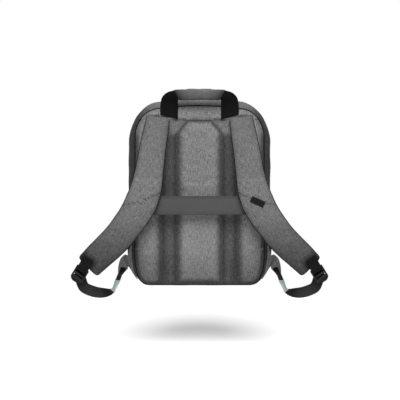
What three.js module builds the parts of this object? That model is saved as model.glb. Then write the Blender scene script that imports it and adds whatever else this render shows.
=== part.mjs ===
// Laptop backpack with padded back, shoulder straps and a luggage band.
// Millimetres, +Z up. The back panel faces -Y, the front of the bag +Y, and X runs across.
// Pieces are laid out from the middle of the back seam's plane at the base, and the whole bag is
// moved at the end so that the origin lies in the gap behind the luggage band.
import * as THREE from 'three';

// Fits and walls
const GAP = 0.3; // between pieces that touch
const WALL = 2; // bag fabric with its backing
const PIPING_RADIUS = 1.5;

// Bag body
const BACK_WIDTH = 296; // back seam, side to side
const BACK_HEIGHT = 408; // back seam, top above the base
const SIDE_BULGE = 15; // side fabric outside the back seam
const TOP_BULGE = 14; // top fabric above the back seam
const FOOT_LIFT = 2; // back and front seams above the base
const FOOT_DEPTH = 148; // back seam to front seam at the base
const TOP_DEPTH = 110; // back seam to front seam at the top
const SIDE_TAPER = 3; // each side leans in by this over the height
const TOP_CROWN = 16; // top edge drops by this towards the sides
const FRONT_BULGE = 16; // front panel stands out past its seam
const SEAM_SHOULDER = { across: 47, up: 60 };
const SEAM_FOOT = { across: 40, up: 90, squareness: 3 };
const BULGE_SHOULDER = { across: 65, up: 95 };
const BULGE_FOOT = { across: 60, up: 80, squareness: 2.3 };

// Back panel
const BOARD_FRONT = 2; // board's face in front of the seam plane
const BOARD_BACK = 4; // board's foam behind the seam plane
const PAD_THICKNESS = 10;
const PAD_ROLL = 18; // width of a pad's rounded edge
const CENTRE_PAD_WIDTH = 99.4;
const CENTRE_PAD_TOP_WIDTH = 53.2;
const CENTRE_PAD_CHAMFER = 29; // height of the cut corners
const CHANNEL_WIDTH = 37;
const PAD_FOOT = 7; // pads above the base
const PAD_CORNER = 6;
const SIDE_PAD_MARGIN = 10; // side pad to the back seam
const YOKE_HEIGHT = 32; // yoke seam below the top of the back seam
const YOKE_THICKNESS = 2.5;
const PAD_TO_YOKE = 2.5;

// Luggage band
const BAND_HEIGHT = 42;
const BAND_THICKNESS = 2;
const BAND_FOOT = 165; // lower edge above the base
const BAND_STANDOFF = 23; // gap for a trolley handle, between pads and band
const BAND_FLAT = 176; // straight stretch in the middle

// Grab handle
const HANDLE_WIDTH = 176; // outside of the legs
const LEG_WIDTH = 40;
const HANDLE_RISE = 36; // top of the handle above the back seam
const HANDLE_WEBBING = 2.4;
const HANDLE_REACH = 14; // grip in front of the legs
const GRIP_HEIGHT = 24;
const GRIP_LENGTH = 90; // along its lower edge
const GRIP_TOP_LENGTH = 116;
const GRIP_THICKNESS = 12;
const GRIP_WALL = 1; // sleeve above and below the webbing
const GRIP_END_PINCH = 0.6; // share of the grip's thickness at its ends

// Shoulder straps
const STRAP_WIDTH = 66;
const STRAP_THICKNESS = 13;
const STRAP_TOP_OUT = 92.6; // middle of the strap from the middle of the bag
const STRAP_END_OUT = 245.7;
const STRAP_END_UP = 52; // middle of the strap's end above the base
const STRAP_TOP_BELOW = 27; // strap's top below the top of the back seam
const STRAP_TAG = { length: 32, width: 14, thickness: 1, turn: 24 };

// Webbing and buckles
const WEBBING_WIDTH = 25;
const WEBBING_THICKNESS = 1.6;
const WEBBING_SAG = 39; // lowest middle point below where it leaves the buckle
const BUCKLE_WIDTH = 31;
const BUCKLE_LENGTH = 38;
const BUCKLE_THICKNESS = 4.5;
const BUCKLE_BAR = 5.5;
const BUCKLE_CORNER = 2.5;
const BUCKLE_LIP = { length: 0.3, up: 0.55, wide: 0.85, flat: 0.35 }; // shares of the size
const BUCKLE_SIDEWAYS = 5.4; // buckle's upper end outside the strap's middle
const BUCKLE_TURN = 13; // degrees that it hangs steeper than the strap
const BUCKLE_GAP = 8.5; // strap's end to buckle
const PATCH_LENGTH = 20; // webbing sewn on the strap's front
const KEEPER_WALL = 1;
const FLAP_THICKNESS = 2;
const FLAP_FOOT = 13; // flap's seam from this height
const FLAP_TOP = 95; // to this height
const FLAP_TIP = { beyond: 28, behind: 17, up: 40 }; // from the back seam's side, plane and base

// Side pockets and zips
const POCKET_WALL = 1.5;
const POCKET_FOOT = 24;
const POCKET_HEIGHT = 150;
const ZIP_FOOT = 121; // main zip's ends above the base, to the nearest section
const ZIP_WALL = 1.2;
const POCKET_ZIP_LENGTH = 200;
const POCKET_ZIP_WIDTH = 26;
const POCKET_ZIP_UP = 262;
const SLIDER = { length: 30, width: 9, thickness: 3, neck: 4.5 };
const SLIDER_SPACING = 38; // between the middles of the two main sliders

const seamHalf = BACK_WIDTH / 2;
const padBack = BOARD_FRONT + GAP;
const padFront = padBack + PAD_THICKNESS;
const yokeFront = padBack + YOKE_THICKNESS;
const bandBack = padFront + BAND_STANDOFF;
const bandFront = bandBack + BAND_THICKNESS;
const yokeSeam = BACK_HEIGHT - YOKE_HEIGHT;
const strapTop = BACK_HEIGHT - STRAP_TOP_BELOW;
const SIDES = [{ name: 'left', sign: -1 }, { name: 'right', sign: 1 }];

const fabric = { color: 0x767676, roughness: 0.95, metalness: 0 };
const padFabric = { color: 0x828282, roughness: 0.95, metalness: 0 };
const bandFabric = { color: 0x5a5a5a, roughness: 0.9, metalness: 0 };
const blackFabric = { color: 0x141414, roughness: 0.9, metalness: 0 };
const blackWebbing = { color: 0x202020, roughness: 0.85, metalness: 0 };
const blackPlastic = { color: 0x0c0c0c, roughness: 0.35, metalness: 0 };
const keeperFabric = { color: 0x9ca6a3, roughness: 0.8, metalness: 0 };

const mix = (a, b, share) => a + (b - a) * share;
const vec = (x, y, z) => new THREE.Vector3(x, y, z);
const sideways = (point, sign) => vec(point.x * sign, point.y, point.z);

const backpack = new THREE.Group();
backpack.position.set(0, padFront + BAND_STANDOFF / 2, -BAND_FOOT - BAND_HEIGHT / 2);

function addPiece(name, geometry, finish) {
  const mesh = new THREE.Mesh(geometry, new THREE.MeshStandardMaterial(finish));
  mesh.name = name;
  backpack.add(mesh);
  return mesh;
}

// Six times the volume inside a list of triangles, negative where they face in.
function signedVolume(points, faces) {
  const term = ([a, b, c]) => points[a].dot(vec(0, 0, 0).crossVectors(points[b], points[c]));
  return faces.reduce((sum, face) => sum + term(face), 0);
}

// A closed solid through a row of closed loops with equally many points. In each loop, point i
// faces point count - 1 - i across the section, which is how the two end loops are closed.
// With wrap, the last loop joins the first and there are no ends.
function loft(loops, wrap = false) {
  const count = loops[0].length;
  const points = loops.flat();
  const faces = [];
  const quad = (a, b, c, d) => faces.push([a, b, c], [a, c, d]);
  const spans = wrap ? loops.length : loops.length - 1;
  for (let row = 0; row < spans; row += 1) {
    const here = row * count;
    const next = ((row + 1) % loops.length) * count;
    for (let i = 0; i < count; i += 1) {
      const j = (i + 1) % count;
      quad(here + i, here + j, next + j, next + i);
    }
  }
  if (!wrap) {
    const last = (loops.length - 1) * count;
    for (let i = 0; i < count / 2 - 1; i += 1) {
      const far = count - 1 - i;
      quad(far, far - 1, i + 1, i);
      quad(last + i, last + i + 1, last + far - 1, last + far);
    }
  }
  const facesOut = signedVolume(points, faces) > 0;
  const geometry = new THREE.BufferGeometry().setFromPoints(points);
  geometry.setIndex(faces.flatMap(([a, b, c]) => (facesOut ? [a, b, c] : [a, c, b])));
  geometry.computeVertexNormals();
  return geometry;
}

// A quarter of a rounded corner from (across, 0) to (0, up): 2 is an ellipse, more is squarer.
function quarterArc(corner, steps) {
  const power = 2 / (corner.squareness ?? 2);
  return Array.from({ length: steps + 1 }, (_, i) => {
    const angle = (i / steps) * (Math.PI / 2);
    const across = Math.abs(Math.cos(angle)) ** power;
    const up = Math.sin(angle) ** power;
    return { across: corner.across * across, up: corner.up * up };
  });
}

function mixCorner(seam, bulge, spread, inset) {
  return {
    across: mix(seam.across, bulge.across, spread) - inset,
    up: mix(seam.up, bulge.up, spread) - inset,
    squareness: mix(seam.squareness ?? 2, bulge.squareness ?? 2, spread),
  };
}

// Steps along the outline: shares of its straight stretches, and counts in its corners.
const FLAT_STEPS = [0.12, 0.5];
const SIDE_STEPS = [1 / 6, 2 / 6, 3 / 6, 4 / 6, 5 / 6];
const FOOT_STEPS = 6;
const SHOULDER_STEPS = 8;

// Right half of the bag's outline seen from behind, from the base up to the top. A spread of 0 is
// the seam and 1 the fullest outline; inset moves it inwards.
function halfOutline(spread, inset) {
  const half = seamHalf + spread * SIDE_BULGE - inset;
  const top = BACK_HEIGHT + spread * TOP_BULGE - inset;
  const base = FOOT_LIFT * (1 - spread) + inset;
  const foot = mixCorner(SEAM_FOOT, BULGE_FOOT, spread, inset);
  const shoulder = mixCorner(SEAM_SHOULDER, BULGE_SHOULDER, spread, inset);
  const footArc = quarterArc(foot, FOOT_STEPS).reverse();
  const shoulderArc = quarterArc(shoulder, SHOULDER_STEPS);
  const sideFoot = base + foot.up;
  const sideTop = top - shoulder.up;
  const bare = [
    ...FLAT_STEPS.map((s) => ({ x: s * (half - foot.across), z: base })),
    ...footArc.map((p) => ({ x: half - foot.across + p.across, z: base + foot.up - p.up })),
    ...SIDE_STEPS.map((s) => ({ x: half, z: mix(sideFoot, sideTop, s) })),
    ...shoulderArc.map((p) => ({ x: half - shoulder.across + p.across, z: sideTop + p.up })),
    ...FLAT_STEPS.toReversed().map((s) => ({ x: s * (half - shoulder.across), z: top })),
  ];
  return bare.map(({ x, z }) => ({
    x: x - (SIDE_TAPER * (x / half) * z) / BACK_HEIGHT,
    z: z - TOP_CROWN * (x / half) ** 2 * (z / top) ** 4,
  }));
}

// The whole outline as a loop whose point i faces point count - 1 - i.
function wholeOutline(spread, inset) {
  const right = halfOutline(spread, inset);
  return [...right, ...right.toReversed().map(({ x, z }) => ({ x: -x, z }))];
}

// Where a height lies along the right half of an outline, as a place in its list of points.
function placeAt(z, spread, inset = 0) {
  const outline = halfOutline(spread, inset);
  const above = outline.findIndex((point, i) => i > 0 && outline[i - 1].z <= z && point.z > z);
  return above - 1 + (z - outline[above - 1].z) / (outline[above].z - outline[above - 1].z);
}

function halfWidthAt(z, spread, inset = 0) {
  const outline = halfOutline(spread, inset);
  const place = placeAt(z, spread, inset);
  const below = Math.floor(place);
  return mix(outline[below].x, outline[below + 1].x, place - below);
}

const depthAt = (z) => mix(FOOT_DEPTH, TOP_DEPTH, z / BACK_HEIGHT);

// Depth rows of the bag's skin. depth: share of the bag's depth from the back seam to the front
// seam, spread: how full the outline is there, shift: in mm along the depth.
const SEAM_CLEARANCE = PIPING_RADIUS + GAP;
const FRONT_SEAM_SPREAD = 0.1;
const ZIP_START = 0.3;
const ZIP_END = 0.42;
const REAR_ROWS = [
  { depth: 0, spread: 0, shift: SEAM_CLEARANCE },
  { depth: 0.06, spread: 0.55, shift: 0 },
  { depth: 0.15, spread: 0.88, shift: 0 },
  { depth: ZIP_START, spread: 1, shift: -GAP / 2 },
];
const ZIP_ROWS = [
  { depth: ZIP_START, spread: 1, shift: GAP / 2 },
  { depth: ZIP_END, spread: 1, shift: -GAP / 2 },
];
const FRONT_ROWS = [
  { depth: ZIP_END, spread: 1, shift: GAP / 2 },
  { depth: 0.64, spread: 1, shift: 0 },
  { depth: 0.82, spread: 0.82, shift: 0 },
  { depth: 0.93, spread: 0.5, shift: 0 },
  { depth: 1, spread: FRONT_SEAM_SPREAD, shift: -SEAM_CLEARANCE },
];

function skinLoop(row, inset) {
  return wholeOutline(row.spread, inset).map(({ x, z }) => {
    return vec(x, row.depth * depthAt(z) + row.shift, z);
  });
}

const SKIN_ROWS = [...REAR_ROWS.slice(0, -1), ...ZIP_ROWS, ...FRONT_ROWS.slice(1)];

// A point on the right side of the skin, lifted off it: depth is a share of the bag's depth, and
// place counts along the outline's points.
function skinPoint(depth, place, lift) {
  const next = SKIN_ROWS.findIndex((row) => row.depth > depth);
  const [rear, front] = [SKIN_ROWS[next - 1], SKIN_ROWS[next]];
  const onRow = (row) => {
    const loop = skinLoop(row, -lift);
    const i = Math.floor(place);
    return loop[i].clone().lerp(loop[i + 1], place - i);
  };
  return onRow(rear).lerp(onRow(front), (depth - rear.depth) / (front.depth - rear.depth));
}

function spreadAt(depth) {
  const next = SKIN_ROWS.findIndex((row) => row.depth > depth);
  const [rear, front] = [SKIN_ROWS[next - 1], SKIN_ROWS[next]];
  return mix(rear.spread, front.spread, (depth - rear.depth) / (front.depth - rear.depth));
}

// The skin between two depth rows, as sections across the wall that follow the outline.
function skinSections(rows) {
  const outside = rows.map((row) => skinLoop(row, 0));
  const inside = rows.map((row) => skinLoop(row, WALL)).reverse();
  return outside[0].map((_, i) => [...outside, ...inside].map((loop) => loop[i]));
}

function pipingRing(depth, spread) {
  const sides = 6;
  const loops = Array.from({ length: sides }, (_, i) => {
    const angle = ((i + 0.5) / sides) * Math.PI * 2;
    const inset = 0.4 * PIPING_RADIUS - PIPING_RADIUS * Math.cos(angle);
    return skinLoop({ depth, spread, shift: PIPING_RADIUS * Math.sin(angle) }, inset);
  });
  return loft(loops, true);
}

function addBody() {
  const boardInset = WALL + GAP;
  const board = [-BOARD_FRONT, BOARD_BACK].map((shift) => {
    return skinLoop({ depth: 0, spread: 0, shift }, boardInset);
  });
  addPiece('back_board', loft(board), fabric);
  addPiece('piping_rear', pipingRing(0, 0), blackFabric);
  addPiece('rear_gusset', loft(skinSections(REAR_ROWS), true), fabric);
  addPiece('front_gusset', loft(skinSections(FRONT_ROWS), true), fabric);
  addPiece('piping_front', pipingRing(1, FRONT_SEAM_SPREAD), blackFabric);
}

// The zip runs over the top from one side's foot corner to the other's. The skin under the bag
// closes the ring.
function addMainZip() {
  const sections = skinSections(ZIP_ROWS);
  const zipFrom = Math.round(placeAt(ZIP_FOOT, 1));
  const zipTo = sections.length - 1 - zipFrom;
  const zip = sections.slice(zipFrom, zipTo + 1);
  const base = [...sections.slice(zipTo), ...sections.slice(0, zipFrom + 1)];
  addPiece('main_zipper', loft(trimEnds(zip)), blackFabric);
  addPiece('base_gusset', loft(trimEnds(base)), fabric);
}

// Moves both end sections back by half the gap, so that the next piece has room.
function trimEnds(sections) {
  const shorten = (end, next) => {
    return end.map((point, i) => {
      const along = next[i].clone().sub(point).normalize();
      return point.clone().addScaledVector(along, GAP / 2);
    });
  };
  const last = sections.length - 1;
  return sections.map((section, i) => {
    if (i === 0) return shorten(section, sections[1]);
    return i === last ? shorten(section, sections[last - 1]) : section;
  });
}

// Front panel from its middle to its rim. scale: share of the rim's outline, out: share of the
// bulge that it reaches there.
const FRONT_RINGS = [
  { scale: 0.4, out: 1 },
  { scale: 0.68, out: 0.86 },
  { scale: 0.87, out: 0.52 },
  { scale: 0.965, out: 0.16 },
  { scale: 1, out: 0 },
];
const frontRim = wholeOutline(FRONT_SEAM_SPREAD, WALL + GAP);
const frontMiddle = BACK_HEIGHT / 2;

function frontRing({ scale, out }, shift) {
  return frontRim.map((point) => {
    const z = mix(frontMiddle, point.z, scale);
    return vec(point.x * scale, depthAt(z) + out * FRONT_BULGE + shift, z);
  });
}

// Height of the front panel's outer face over a point, from the ring that passes through it.
function frontFaceAt(x, z) {
  const reach = frontRim.map((point) => Math.atan2(point.z - frontMiddle, point.x));
  const angle = Math.atan2(z - frontMiddle, x);
  const turn = (a) => Math.abs(Math.atan2(Math.sin(a - angle), Math.cos(a - angle)));
  const nearest = reach.reduce((best, a, i) => (turn(a) < turn(reach[best]) ? i : best), 0);
  const rim = frontRim[nearest];
  const scale = Math.hypot(x, z - frontMiddle) / Math.hypot(rim.x, rim.z - frontMiddle);
  const outer = Math.max(1, FRONT_RINGS.findIndex((ring) => ring.scale >= scale));
  const a = FRONT_RINGS[outer - 1];
  const b = FRONT_RINGS[outer];
  const share = THREE.MathUtils.clamp((scale - a.scale) / (b.scale - a.scale), 0, 1);
  return depthAt(z) + WALL / 2 + mix(a.out, b.out, share) * FRONT_BULGE;
}

function addFrontPanel() {
  const outside = FRONT_RINGS.map((ring) => frontRing(ring, WALL / 2));
  const inside = FRONT_RINGS.toReversed().map((ring) => frontRing(ring, -WALL / 2));
  addPiece('front_panel', loft([...outside, ...inside]), fabric);
}

// A strip of points with a thickness: rows of points along it, thickened on both sides.
function sheet(rows, thickness) {
  const at = (r, c) => {
    const row = rows[THREE.MathUtils.clamp(r, 0, rows.length - 1)];
    return row[THREE.MathUtils.clamp(c, 0, row.length - 1)];
  };
  const offset = (r, c, distance) => {
    const along = at(r + 1, c).clone().sub(at(r - 1, c));
    const across = at(r, c + 1).clone().sub(at(r, c - 1));
    const normal = along.cross(across).normalize();
    return at(r, c).clone().addScaledVector(normal, distance);
  };
  const loops = rows.map((row, r) => [
    ...row.map((_, c) => offset(r, c, thickness / 2)),
    ...row.map((_, c) => offset(r, c, -thickness / 2)).reverse(),
  ]);
  return loft(loops);
}

function addPocketZip() {
  const steps = 12;
  const columns = Array.from({ length: steps + 1 }, (_, i) => (i / steps - 0.5) * POCKET_ZIP_LENGTH);
  const edges = [-0.5, 0, 0.5].map((share) => POCKET_ZIP_UP + share * POCKET_ZIP_WIDTH);
  const lift = GAP * 4 + ZIP_WALL / 2;
  const rows = columns.map((x) => edges.map((z) => vec(x, frontFaceAt(x, z) + lift, z)));
  addPiece('pocket_zipper', sheet(rows, ZIP_WALL), blackFabric);
  const x = POCKET_ZIP_LENGTH / 2 - SLIDER.length * 0.7;
  const faceLift = lift + ZIP_WALL / 2 + GAP * 2 + SLIDER.thickness;
  const place = vec(x, frontFaceAt(x, POCKET_ZIP_UP) + faceLift, POCKET_ZIP_UP);
  const slope = frontFaceAt(x - SLIDER.length / 2, POCKET_ZIP_UP) - frontFaceAt(x, POCKET_ZIP_UP);
  const along = vec(-SLIDER.length / 2, slope, 0).normalize();
  addPiece('pocket_slider', sliderAt(place, along, vec(0, 0, 1)), blackPlastic);
}

// A slider with its pull tab, lying flat: a wide body, a neck and a tab with rounded corners.
function sliderAt(place, along, across) {
  const { length, width, thickness, neck } = SLIDER;
  const shape = new THREE.Shape();
  const body = 0.3 * length;
  shape.moveTo(-width / 2, -length / 2);
  shape.lineTo(width / 2, -length / 2);
  shape.lineTo(width / 2, body - length / 2);
  shape.lineTo(neck / 2, body - length / 2 + 2);
  shape.lineTo(width * 0.42, length / 2 - 3);
  shape.quadraticCurveTo(width * 0.42, length / 2, 0, length / 2);
  shape.quadraticCurveTo(-width * 0.42, length / 2, -width * 0.42, length / 2 - 3);
  shape.lineTo(-neck / 2, body - length / 2 + 2);
  shape.lineTo(-width / 2, body - length / 2);
  const geometry = new THREE.ExtrudeGeometry(shape, {
    depth: thickness, bevelEnabled: false, curveSegments: 3,
  });
  return seated(geometry, place, across, along);
}

// Turns a flat shape's X to across and its Y to along, and moves it to its place.
function seated(geometry, place, across, along) {
  const normal = across.clone().cross(along).normalize();
  const turn = new THREE.Matrix4().makeBasis(across, along, normal).setPosition(place);
  return geometry.applyMatrix4(turn);
}

function addMainSliders() {
  const z = BACK_HEIGHT + TOP_BULGE;
  const x = SLIDER_SPACING / 2;
  const drop = TOP_CROWN * (x / (seamHalf + SIDE_BULGE)) ** 2;
  const y = ((ZIP_START + ZIP_END) / 2) * depthAt(z);
  for (const { name, sign } of SIDES) {
    const along = vec(-sign, 0, (drop * 2) / x).normalize();
    const across = vec(0, sign, 0);
    const place = vec(sign * x, y, z - drop / 2 + GAP * 2);
    addPiece(`main_slider_${name}`, sliderAt(place, along, across), blackPlastic);
  }
}

// Side pocket: stretch fabric that hugs the side, cut back at a slant towards the back panel.
const POCKET_REAR = { foot: 0.24, top: 0.05 }; // rear edge, as shares of the bag's depth
const POCKET_FRONT = 0.92;

function addSidePockets() {
  const lowest = placeAt(POCKET_FOOT, 1);
  const highest = placeAt(POCKET_HEIGHT, 1);
  const first = Math.ceil(lowest);
  const between = Array.from({ length: Math.ceil(highest) - first }, (_, i) => first + i);
  const lift = 3 * GAP + POCKET_WALL / 2;
  const columns = SKIN_ROWS.map((row) => row.depth);
  const kept = columns.filter((depth) => depth > POCKET_REAR.top && depth < POCKET_FRONT);
  for (const { name, sign } of SIDES) {
    const rows = [lowest, ...between, highest].map((place) => {
      const up = (place - lowest) / (highest - lowest);
      const rear = mix(POCKET_REAR.foot, POCKET_REAR.top, up);
      const depths = kept.map((depth, i) => Math.max(depth, rear + 0.01 * (i + 1)));
      return [rear, ...depths, POCKET_FRONT].map((depth) => {
        return sideways(skinPoint(depth, place, lift), sign);
      });
    });
    addPiece(`side_pocket_${name}`, sheet(rows, POCKET_WALL), blackFabric);
  }
}

// Pad edge from the board outwards. inset: share of the pad's roll, rise: of its thickness.
const PAD_PROFILE = [
  { inset: 0, rise: 0 },
  { inset: 0, rise: 0.35 },
  { inset: 0.22, rise: 0.75 },
  { inset: 0.6, rise: 0.95 },
  { inset: 1, rise: 1 },
];

// A crowned pad in front of the board, between two edges given from the foot to the top.
function padSolid(edges, thickness, roll) {
  const foot = edges[0].z;
  const top = edges.at(-1).z;
  const loops = PAD_PROFILE.map(({ inset, rise }) => {
    const rolled = inset * roll;
    const level = (z) => mix(foot + rolled, top - rolled, (z - foot) / (top - foot));
    const y = -padBack - rise * thickness;
    const right = edges.map(({ to, z }) => vec(to - rolled, y, level(z)));
    const left = edges.map(({ from, z }) => vec(from + rolled, y, level(z)));
    return [...right, ...left.reverse()];
  });
  return loft(loops);
}

const CHAMFER_BEND = { down: 0.6, in: 0.36 }; // point on a cut corner, as shares of it
const SIDE_PAD_LEVELS = [0, 0.02, 0.06, 0.14, 0.3, 0.5, 0.7, 0.82, 0.9, 0.96, 1]; // of its height

function addPads() {
  const top = yokeSeam - PAD_TO_YOKE;
  const half = CENTRE_PAD_WIDTH / 2;
  const narrow = CENTRE_PAD_TOP_WIDTH / 2;
  const centre = [
    { z: PAD_FOOT, half: half - PAD_CORNER },
    { z: PAD_FOOT + PAD_CORNER, half },
    { z: top - CENTRE_PAD_CHAMFER, half },
    { z: top - CENTRE_PAD_CHAMFER * CHAMFER_BEND.down, half: mix(half, narrow, CHAMFER_BEND.in) },
    { z: top, half: narrow },
  ].map((row) => ({ z: row.z, from: -row.half, to: row.half }));
  addPiece('centre_pad', padSolid(centre, PAD_THICKNESS, PAD_ROLL), padFabric);

  const inner = half + CHANNEL_WIDTH;
  for (const { name, sign } of SIDES) {
    const edges = SIDE_PAD_LEVELS.map((share) => {
      const z = mix(PAD_FOOT, top, share);
      return { z, from: inner, to: halfWidthAt(z, 0) - SIDE_PAD_MARGIN };
    });
    const pad = padSolid(edges, PAD_THICKNESS, PAD_ROLL);
    addPiece(`side_pad_${name}`, sign > 0 ? pad : mirrored(pad), padFabric);
  }
}

function mirrored(geometry) {
  const copy = geometry.clone().scale(-1, 1, 1);
  const index = Array.from(copy.index.array);
  const flipped = index.map((_, i) => index[i - (i % 3) + (2 - (i % 3))]);
  copy.setIndex(flipped);
  copy.computeVertexNormals();
  return copy;
}

function addYoke() {
  const seamTop = halfOutline(0, WALL + GAP);
  const shoulders = seamTop.filter(({ z }) => z > yokeSeam + 1);
  const edges = [
    { z: yokeSeam, half: halfWidthAt(yokeSeam, 0, WALL + GAP) },
    ...shoulders.map(({ x, z }) => ({ z, half: x })),
  ].map(({ z, half }) => ({ z, from: -half, to: half }));
  const loops = [0, YOKE_THICKNESS].map((rise) => {
    const y = -padBack - rise;
    const right = edges.map(({ to, z }) => vec(to, y, z));
    return [...right, ...edges.map(({ from, z }) => vec(from, y, z)).reverse()];
  });
  addPiece('yoke_panel', loft(loops), fabric);
}

// Sections across a strap or webbing. The outline is given as shares of width and thickness.
const FLAT_SECTION = [
  { u: -0.5, v: -0.5 },
  { u: 0.5, v: -0.5 },
  { u: 0.5, v: 0.5 },
  { u: -0.5, v: 0.5 },
];
const PADDED_SECTION = [
  { u: -0.5, v: -0.14 },
  { u: -0.47, v: -0.36 },
  { u: -0.36, v: -0.5 },
  { u: 0.36, v: -0.5 },
  { u: 0.47, v: -0.36 },
  { u: 0.5, v: -0.14 },
  { u: 0.5, v: 0.14 },
  { u: 0.47, v: 0.36 },
  { u: 0.36, v: 0.5 },
  { u: -0.36, v: 0.5 },
  { u: -0.47, v: 0.36 },
  { u: -0.5, v: 0.14 },
];

// Slot with as many points as the padded section, so that a padded sleeve can be closed round it.
const LINING_SECTION = PADDED_SECTION.map(({ u, v }) => ({ u, v: Math.sign(v) / 2 }));

function sectionLoop(station, outline, extra = 0) {
  const { at, across, normal, width, thickness } = station;
  return outline.map(({ u, v }) => {
    const sidewaysBy = u * width + Math.sign(u) * extra;
    const outwards = v * thickness + Math.sign(v) * extra;
    return at.clone().addScaledVector(across, sidewaysBy).addScaledVector(normal, outwards);
  });
}

const ribbon = (stations, outline) => loft(stations.map((s) => sectionLoop(s, outline)));

// A sleeve round a strap: its inner sections the strap's way, so that its facets lie along the
// strap's, and its outer ones back.
function sleeve(stations, outline, inner, outer) {
  const inside = stations.map((s) => sectionLoop(s, outline, inner));
  const outside = stations.map((s) => sectionLoop(s, outline, outer)).reverse();
  return loft([...inside, ...outside], true);
}

// Stations along a smooth line through a few rows, each with at, width, thickness and twist.
// Across lies in the plane of the back panel, and twist turns it towards the bag's depth.
function alongCurve(rows, steps, from = 0, to = 1) {
  const curve = new THREE.CatmullRomCurve3(rows.map((row) => row.at), false, 'centripetal');
  const blend = (key, t) => {
    const scaled = t * (rows.length - 1);
    const i = Math.min(Math.floor(scaled), rows.length - 2);
    return mix(rows[i][key], rows[i + 1][key], scaled - i);
  };
  return Array.from({ length: steps + 1 }, (_, i) => {
    const t = mix(from, to, i / steps);
    const tangent = curve.getTangent(t);
    const flat = vec(-tangent.z, 0, tangent.x).normalize();
    const twist = blend('twist', t);
    const across = flat.lerp(vec(0, Math.sign(twist), 0), Math.abs(twist));
    across.addScaledVector(tangent, -across.dot(tangent)).normalize();
    const normal = tangent.clone().cross(across).normalize();
    return {
      at: curve.getPoint(t), tangent, across, normal,
      width: blend('width', t), thickness: blend('thickness', t),
    };
  });
}

// Half of the band outside its flat middle. out: share of the way to its sewn end, off: share of
// its distance off the back.
const BAND_SIDE_ROWS = [
  { out: 0.73, off: 0.93 },
  { out: 0.83, off: 0.74 },
  { out: 0.91, off: 0.5 },
  { out: 0.955, off: 0.34 },
  { out: 0.985, off: 0.2 },
  { out: 1, off: 0 },
];

function addBand() {
  const end = seamHalf - SIDE_TAPER - PIPING_RADIUS * 3;
  const flat = BAND_FLAT / 2 / end;
  const middle = [0, flat / 2, flat].map((out) => ({ out, off: 1 }));
  const rows = [...middle, ...BAND_SIDE_ROWS].map(({ out, off }) => ({
    x: out * end,
    y: -mix(padBack, bandBack, off) - BAND_THICKNESS / 2,
  }));
  const whole = [...rows.slice(1).reverse().map(({ x, y }) => ({ x: -x, y })), ...rows];
  const edges = [0, 0.5, 1].map((share) => BAND_FOOT + share * BAND_HEIGHT);
  const grid = whole.map(({ x, y }) => edges.map((z) => vec(x, y, z)));
  addPiece('luggage_band', sheet(grid, BAND_THICKNESS), bandFabric);
}

// Half of the handle from its foot to the top. outer, inner: shares of how far the two edges of a
// leg are from the middle, outerUp, innerUp: shares of the way up for each edge, off: of the reach
// in front of the legs.
const HANDLE_ROWS = [
  { outer: 1, outerUp: 0, inner: 1, innerUp: 0, off: 0 },
  { outer: 1, outerUp: 0.25, inner: 1, innerUp: 0.5, off: 0.05 },
  { outer: 0.99, outerUp: 0.48, inner: 1, innerUp: 0.8, off: 0.2 },
  { outer: 0.95, outerUp: 0.68, inner: 0.99, innerUp: 0.96, off: 0.5 },
  { outer: 0.84, outerUp: 0.85, inner: 0.975, innerUp: 1, off: 0.8 },
  { outer: 0.68, outerUp: 0.935, inner: 0.96, innerUp: 1, off: 1 },
  { outer: 0.32, outerUp: 0.99, inner: 0.5, innerUp: 1, off: 1 },
  { outer: 0, outerUp: 1, inner: 0, innerUp: 1, off: 1 },
];
const HANDLE_FOOT_SLANT = 7; // outer edge of a leg starts above the strap's top by this

function handleRows() {
  const half = HANDLE_WIDTH / 2;
  const top = BACK_HEIGHT + HANDLE_RISE;
  return HANDLE_ROWS.map((row) => {
    const y = -yokeFront - GAP - HANDLE_WEBBING / 2 - row.off * HANDLE_REACH;
    const outerUp = mix(strapTop + HANDLE_FOOT_SLANT, top, row.outerUp);
    const innerUp = mix(yokeSeam + GAP, top - GRIP_HEIGHT, row.innerUp);
    const inner = row.inner * (half - LEG_WIDTH);
    return { outer: vec(row.outer * half, y, outerUp), inner: vec(inner, y, innerUp) };
  });
}

function addHandle() {
  const half = handleRows();
  const right = half.map(({ outer, inner }) => [outer, inner]);
  const left = right.slice(0, -1).reverse().map((row) => row.map((point) => sideways(point, -1)));
  addPiece('grab_handle', sheet([...right, ...left], HANDLE_WEBBING), blackWebbing);
  addPiece('handle_grip', gripGeometry(half), padFabric);
}

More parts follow.
